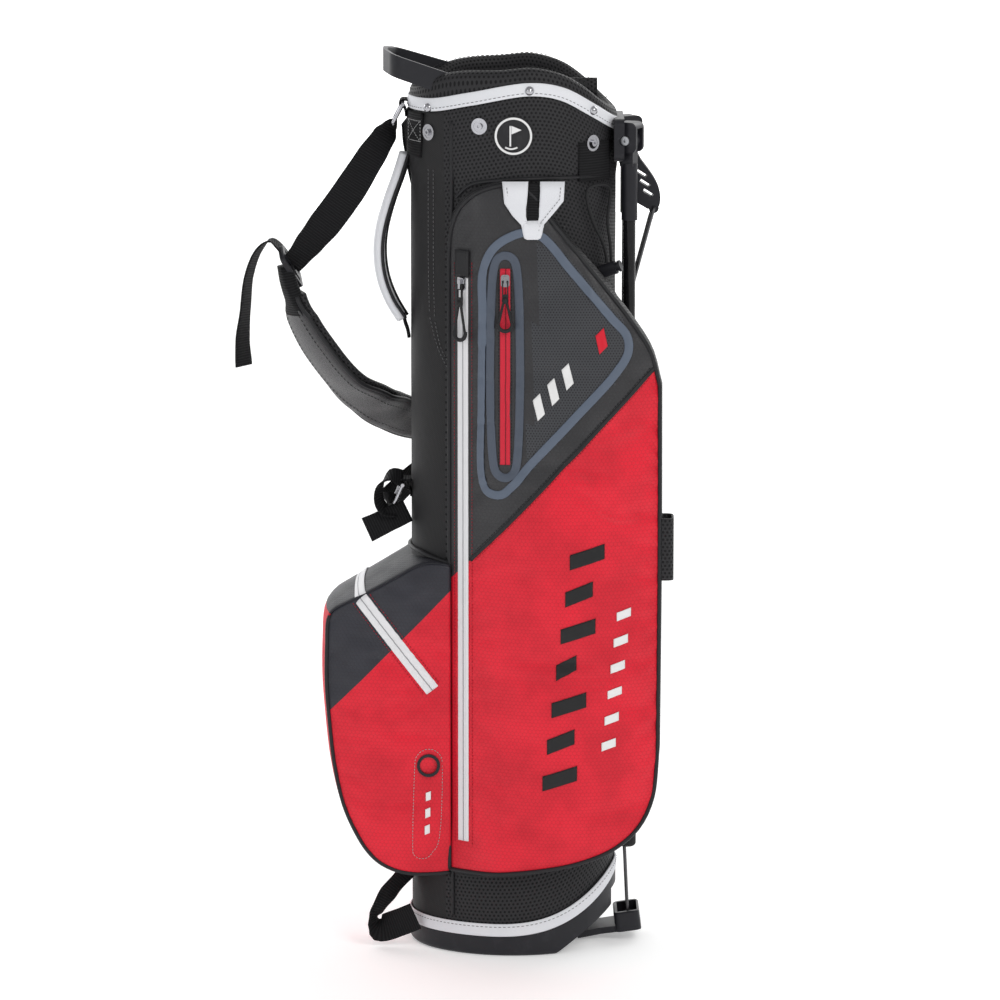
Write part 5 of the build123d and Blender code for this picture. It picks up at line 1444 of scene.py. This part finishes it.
# ---------------------------------------------------------------- far side pockets
def far_side():
    """Valuables pocket and open drinks pocket on the far side."""
    front = 110.0
    left, right, low, top = -36.0, 62.0, 400.0, 700.0
    rows = coons(
        [(left, low + 14), (left + 14, low + 1), (right - 20, low + 1), (right, low + 24)],
        [(right, low + 24), (right, top - 50)],
        [(left, top - 40), (left + 22, top - 6), (left + 44, top), (right - 30, top - 6), (right, top - 50)],
        [(left, low + 14), (left, top - 40)], 20, 50)
    skins = []
    for row in rows:
        made = []
        for x, z in row:
            edge = min(x - left, right - x, 26.0) / 26.0
            round_off = math.sin(max(0.0, min(1.0, edge)) * math.pi / 2)
            made.append(Vector((x, front - 13 * (1 - round_off), z)))
        skins.append(made)
    panel = grid("valuables_pocket_front", skins, "valuables", flip=True, uv=lambda p: (p[0], p[2]))
    held = set()
    for j in range(51):
        for i in range(21):
            if i in (0, 20) or j in (0, 50) or abs(skins[j][i].x + 2) < 6:
                held.add(j * 21 + i)
    puff(panel, held, 2.0, 0.01, 5.0)
    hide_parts("far_pocket")
    ground = Ground(panel, 1)
    smoother(panel)
    thicken(panel, 1.0)
    edge = [skins[0][i] for i in range(20)] + [skins[j][20] for j in range(50)]
    edge += [skins[50][i] for i in range(20, 0, -1)] + [skins[50 - j][0] for j in range(50)]
    wall = []
    for k in range(5):
        wall.append([Vector((p.x, p.y + (skin_depth(p.x) + 0.8 - p.y) * k / 4, p.z)) for p in edge])
    side_wall = grid("valuables_pocket_wall", wall, "mesh", around=True, flip=True)
    thicken(side_wall, 1.0)
    piping = tube("valuables_pocket_piping", even(edge + [edge[0]], 3.0, True), 1.9, "piping", closed=True)
    zip_piece("valuables_zip", ground, -2, 672, 432, 12.0, "white_zip", "far_zip_tape",
              "black_thread", 7.6)

    centre = Vector((14, 113.2, 0))
    radius, low, top = 42.0, 110.0, 345.0
    reach = math.acos((skin_depth(14) - centre.y + 2) / radius)
    rows = []
    for j in range(41):
        z = low + (top - low) * j / 40
        row = []
        for i in range(61):
            a = -reach + 2 * reach * i / 60
            sag = 1.2 * math.sin(a * 3 + z * 0.02) * math.sin(math.pi * j / 40)
            toe = 5.0 * max(0.0, 1 - j / 4) ** 2
            size = radius - 1.2 + sag - toe
            row.append((centre.x + size * math.sin(a), centre.y + size * math.cos(a), z))
        rows.append(row)
    wall = grid("drinks_pocket_wall", rows, "mesh", flip=True)
    thicken(wall, 3.6)
    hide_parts("bottle_pocket")
    rim_path = [Vector(p) + Vector((0, 0, 0.5)) for p in rows[-1]]
    outs = [Vector((p.x - centre.x, p.y - centre.y, 0)).normalized() for p in rim_path]
    rim = sweep("drinks_pocket_rim", [p - o * 1.8 for p, o in zip(rim_path, outs)], outs,
                strap_section(9, 5.4), "webbing")
    disc = [(centre.x, centre.y, low + 3)]
    ring = [(centre.x + (radius - 3) * math.sin(a), centre.y + (radius - 3) * math.cos(a), low + 3)
            for a in [-reach + 2 * reach * i / 40 for i in range(41)]]
    floor = make("drinks_pocket_floor", disc + ring, [(0, i + 2, i + 1) for i in range(40)],
                 [(p[0], p[1]) for i in range(40) for p in (disc[0], ring[i + 1], ring[i])], "lining")
    thicken(floor, 2.0)


# ---------------------------------------------------------------- umbrella holder and badge
def skin_spot(x, out):
    """(x, y) of a point out from the tube's near side."""
    turn = turn_at(x)
    point = skin(turn, out)[0]
    return point.x, point.y


def umbrella_holder():
    """Webbing tab, elastic cord through its tunnel, and the sleeve on the pocket's wall."""
    x, z = 79.0, TALL - 92 - 26
    points = [
        (*skin_spot(x + 4.5, 10.5), z - 76), (*skin_spot(x + 4.5, 10.5), z - 62),
        (*skin_spot(x - 6, 5.5), z - 34),
        (*skin_spot(x - 12, 5.5), z - 6), (*skin_spot(x - 7, 5.5), z + 1), (*skin_spot(x + 7, 5.5), z + 1),
        (*skin_spot(x + 13, 5.5), z - 6), (*skin_spot(x + 8, 5.5), z - 34),
        (*skin_spot(x + 8.5, 10.5), z - 62),
        (*skin_spot(x + 8.5, 10.5), z - 76),
    ]
    curve = bpy.data.curves.new("umbrella_elastic", "CURVE")
    curve.dimensions = "3D"
    curve.bevel_depth = 1.5 * MM
    curve.bevel_resolution = 3
    line = curve.splines.new("NURBS")
    line.points.add(len(points) - 1)
    for spot, point in zip(line.points, points):
        spot.co = (point[0] * MM, point[1] * MM, point[2] * MM, 1.0)
    line.order_u = 3
    line.use_endpoint_u = True
    cord = bpy.data.objects.new("umbrella_elastic", curve)
    curve.materials.append(finishes["elastic"].material)
    bpy.context.scene.collection.objects.link(cord)
    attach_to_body(cord, "root")
    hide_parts("umbrella_cord")
    rows = []
    for j in range(11):
        z = TALL - 92 - 21 + 38 * j / 10
        low, high = turn_at(63), turn_at(93)
        row = []
        for i in range(17):
            turn = low + (high - low) * i / 16
            lift = 0.7 + (2.6 * math.exp(-(((z - (TALL - 118)) / 5) ** 2)))
            row.append(skin(turn, lift)[0] + Vector((0, 0, z)))
        rows.append(row)
    tab = grid("umbrella_tab_webbing", rows, "webbing")
    thicken(tab, 1.6, False)
    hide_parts("umbrella_tab")
    x, z = RIGHT, 414.0
    section = [(-15.5, 1.2), (-15.5, 9.5), (-12, 13.5), (-6, 14.2), (0, 14.4), (6, 14.2), (12, 13.5),
               (15.5, 9.5), (15.5, 1.2)]
    rows = []
    for j in range(15):
        height = z - 31 + 62 * j / 14
        rows.append([(x + out, -79 + across, height) for across, out in spline_flat(section)])
    sleeve = grid("umbrella_sleeve_mesh", rows, "mesh")
    thicken(sleeve, 1.8)
    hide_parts("umbrella_sleeve")


def spline_flat(knots):
    """The same (a, b) line, smooth, with points about 2 mm apart."""
    return [(p.x, p.y) for p in spline([(a, b, 0) for a, b in knots], 2.0)]


def badge_mark():
    """White ring with a plain flag on a pin: a generic golf mark."""
    low, high = node_box("badge")
    centre = Vector(((low.x + high.x) / 2, low.y, (low.z + high.z) / 2))

    def spot(a, b):
        return Vector((centre.x + a, -skin_depth(centre.x + a) - 2.75, centre.z + b))

    ring = [spot(17.2 * math.cos(t), 17.2 * math.sin(t)) for t in turns(72)]
    outs = [Vector((0, -1, 0))] * len(ring)
    made = sweep("badge_ring", ring, outs, strap_section(2.2, 0.9, 0.1), "print_white", closed=True)
    pole = [spot(-3, -10 + 20 * k / 8) for k in range(9)]
    made = sweep("badge_flag_pole", pole, [Vector((0, -1, 0))] * 9, strap_section(1.7, 0.9, 0.1),
                 "print_white")
    cloth = [[spot(-2 + 10 * (1 - abs(k - 3) / 3.2) * i / 6,
                   2 + 8 * k / 6) for i in range(7)] for k in range(7)]
    flag = grid("badge_flag", cloth, "print_white")
    thicken(flag, 0.8, False)
    cup = [spot(-8 + 12 * k / 8, -11 - 1.6 * math.sin(math.pi * k / 8)) for k in range(9)]
    made = sweep("badge_green", cup, [Vector((0, -1, 0))] * 9, strap_section(1.7, 0.9, 0.1), "print_white")


def tube_seams():
    """Double-stitched upright seams on the tube, and piping from the pockets down to the base."""
    for name, knots in (
        ("strap_panel_a", [(-83, 812), (-83, 680), (-82, 640)]),
        ("strap_panel_b", [(-78, 812), (-78, 676), (-77, 636)]),
        ("strap_panel_c", [(-82, 640), (-74, 610), (-62, 586)]),
        ("strap_panel_d", [(-77, 636), (-70, 608), (-60, 592)]),
    ):
        path, outs = [], []
        for p in spline([(a, 0, b) for a, b in knots], 2.5):
            point, out = skin(turn_at(p.x), 0.35)
            path.append(point + Vector((0, 0, p.z)))
            outs.append(out)
        made = stitches(f"{name}_stitches", path, outs, "grey_thread", 4.2, 2.7, 0.33)
    path = []
    for p in spline([(a, 0, TALL - b) for a, b in ((-56, 128), (-42, 115), (-12, 109.5), (30, 108),
                                                   (64, 108.5), (94, 110))], 3.0):
        path.append(skin(turn_at(p.x), 0.8)[0] + Vector((0, 0, p.z)))
    made = tube("tube_arch_piping", path, 1.7, "piping")
    for side in (-1, 1):
        path = [skin(turn_at(SEAM_X + 3, side), 0.6)[0] + Vector((0, 0, z)) for z in range(38, 86, 4)]
        path += [skin(turn_at(SEAM_X + 3, side), 0.6)[0] + Vector((0, 0, z)) for z in range(90, 836, 8)]
        made = tube(f"tube_seam_piping_{side + 1}", path, 1.7, "piping")

# ---------------------------------------------------------------- the CAD nodes' finishes
NODE_FINISH = {
    "moulded": (
        "base_cup", "base_foot", "collar_frame", "stand_bracket", "yoke", "leg_cap_near", "leg_cap_far",
        "strap_buckle", "pen_grommet", "cord_lock_barrel", "cord_lock_plunger",
    ),
    "gloss": ("leg_tube_near", "leg_tube_far"),
    "rubber": ("leg_foot_near", "leg_foot_far"),
    "steel": ("foot_hinge_pin", "leg_pins", "yoke_pin", "bracket_screws"),
    "wire": ("actuator_wire",),
    "chrome": (
        "collar_rivets", "hood_snaps", "strap_rings", "apparel_zip_slider", "phone_zip_slider",
        "ball_zip_slider", "far_zip_slider",
    ),
    "cord": ("apparel_zip_pull", "phone_zip_pull", "ball_zip_pull", "far_zip_pull", "stay_rods"),
    "webbing": (
        "ring_tabs", "strap_webbing", "strap_rear", "strap_lower", "base_loop", "umbrella_tab",
        "umbrella_sleeve",
        "strap_anchor_top",
    ),
    "white": ("towel_tab", "grab_handle"),
    "pad": ("strap_pad",),
    "red": ("ball_pocket",),
    "grey": ("far_pocket",),
    "mesh": ("bottle_pocket",),
    "white_zip": ("ball_zip_tape", "far_zip_tape"),
    "badge": ("badge",),
    "elastic": ("umbrella_cord",),
}


def dress_nodes():
    """Finishes for the frame's own pieces."""
    for finish, nodes in NODE_FINISH.items():
        for node in nodes:
            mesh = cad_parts[node].data
            mesh.materials.clear()
            mesh.materials.append(finishes[finish].material)


make_finishes()
studio()
dress_nodes()
tube_fabric()
band("collar_band", lambda x: between(COLLAR, x), TRIM_WIDE, 1.8, "white", "collar_trim")
band("base_band", lambda x: base_height(x) + TRIM_WIDE / 2, TRIM_WIDE, 1.8, "white", "base_trim")
collar_rim()
dividers()
front = clothing_pocket()
pocket_details(front)
zip_piece("clothing_zip", front, ZIP_X, POCKET_TOP - 78, 118, 13.0, "white_zip",
          "apparel_zip_tape",
          "red_thread", 8.6)
zip_piece("phone_zip", front, PHONE_X, POCKET_TOP - 82, POCKET_TOP - 274, 10.0, "red_zip",
          "phone_zip_tape",
          "black_thread", 6.2)
zip_garage(front)
ball_pocket()
towel_tab(front)
straps()
ring_folds()
grab_handle()
far_side()
umbrella_holder()
badge_mark()
tube_seams()
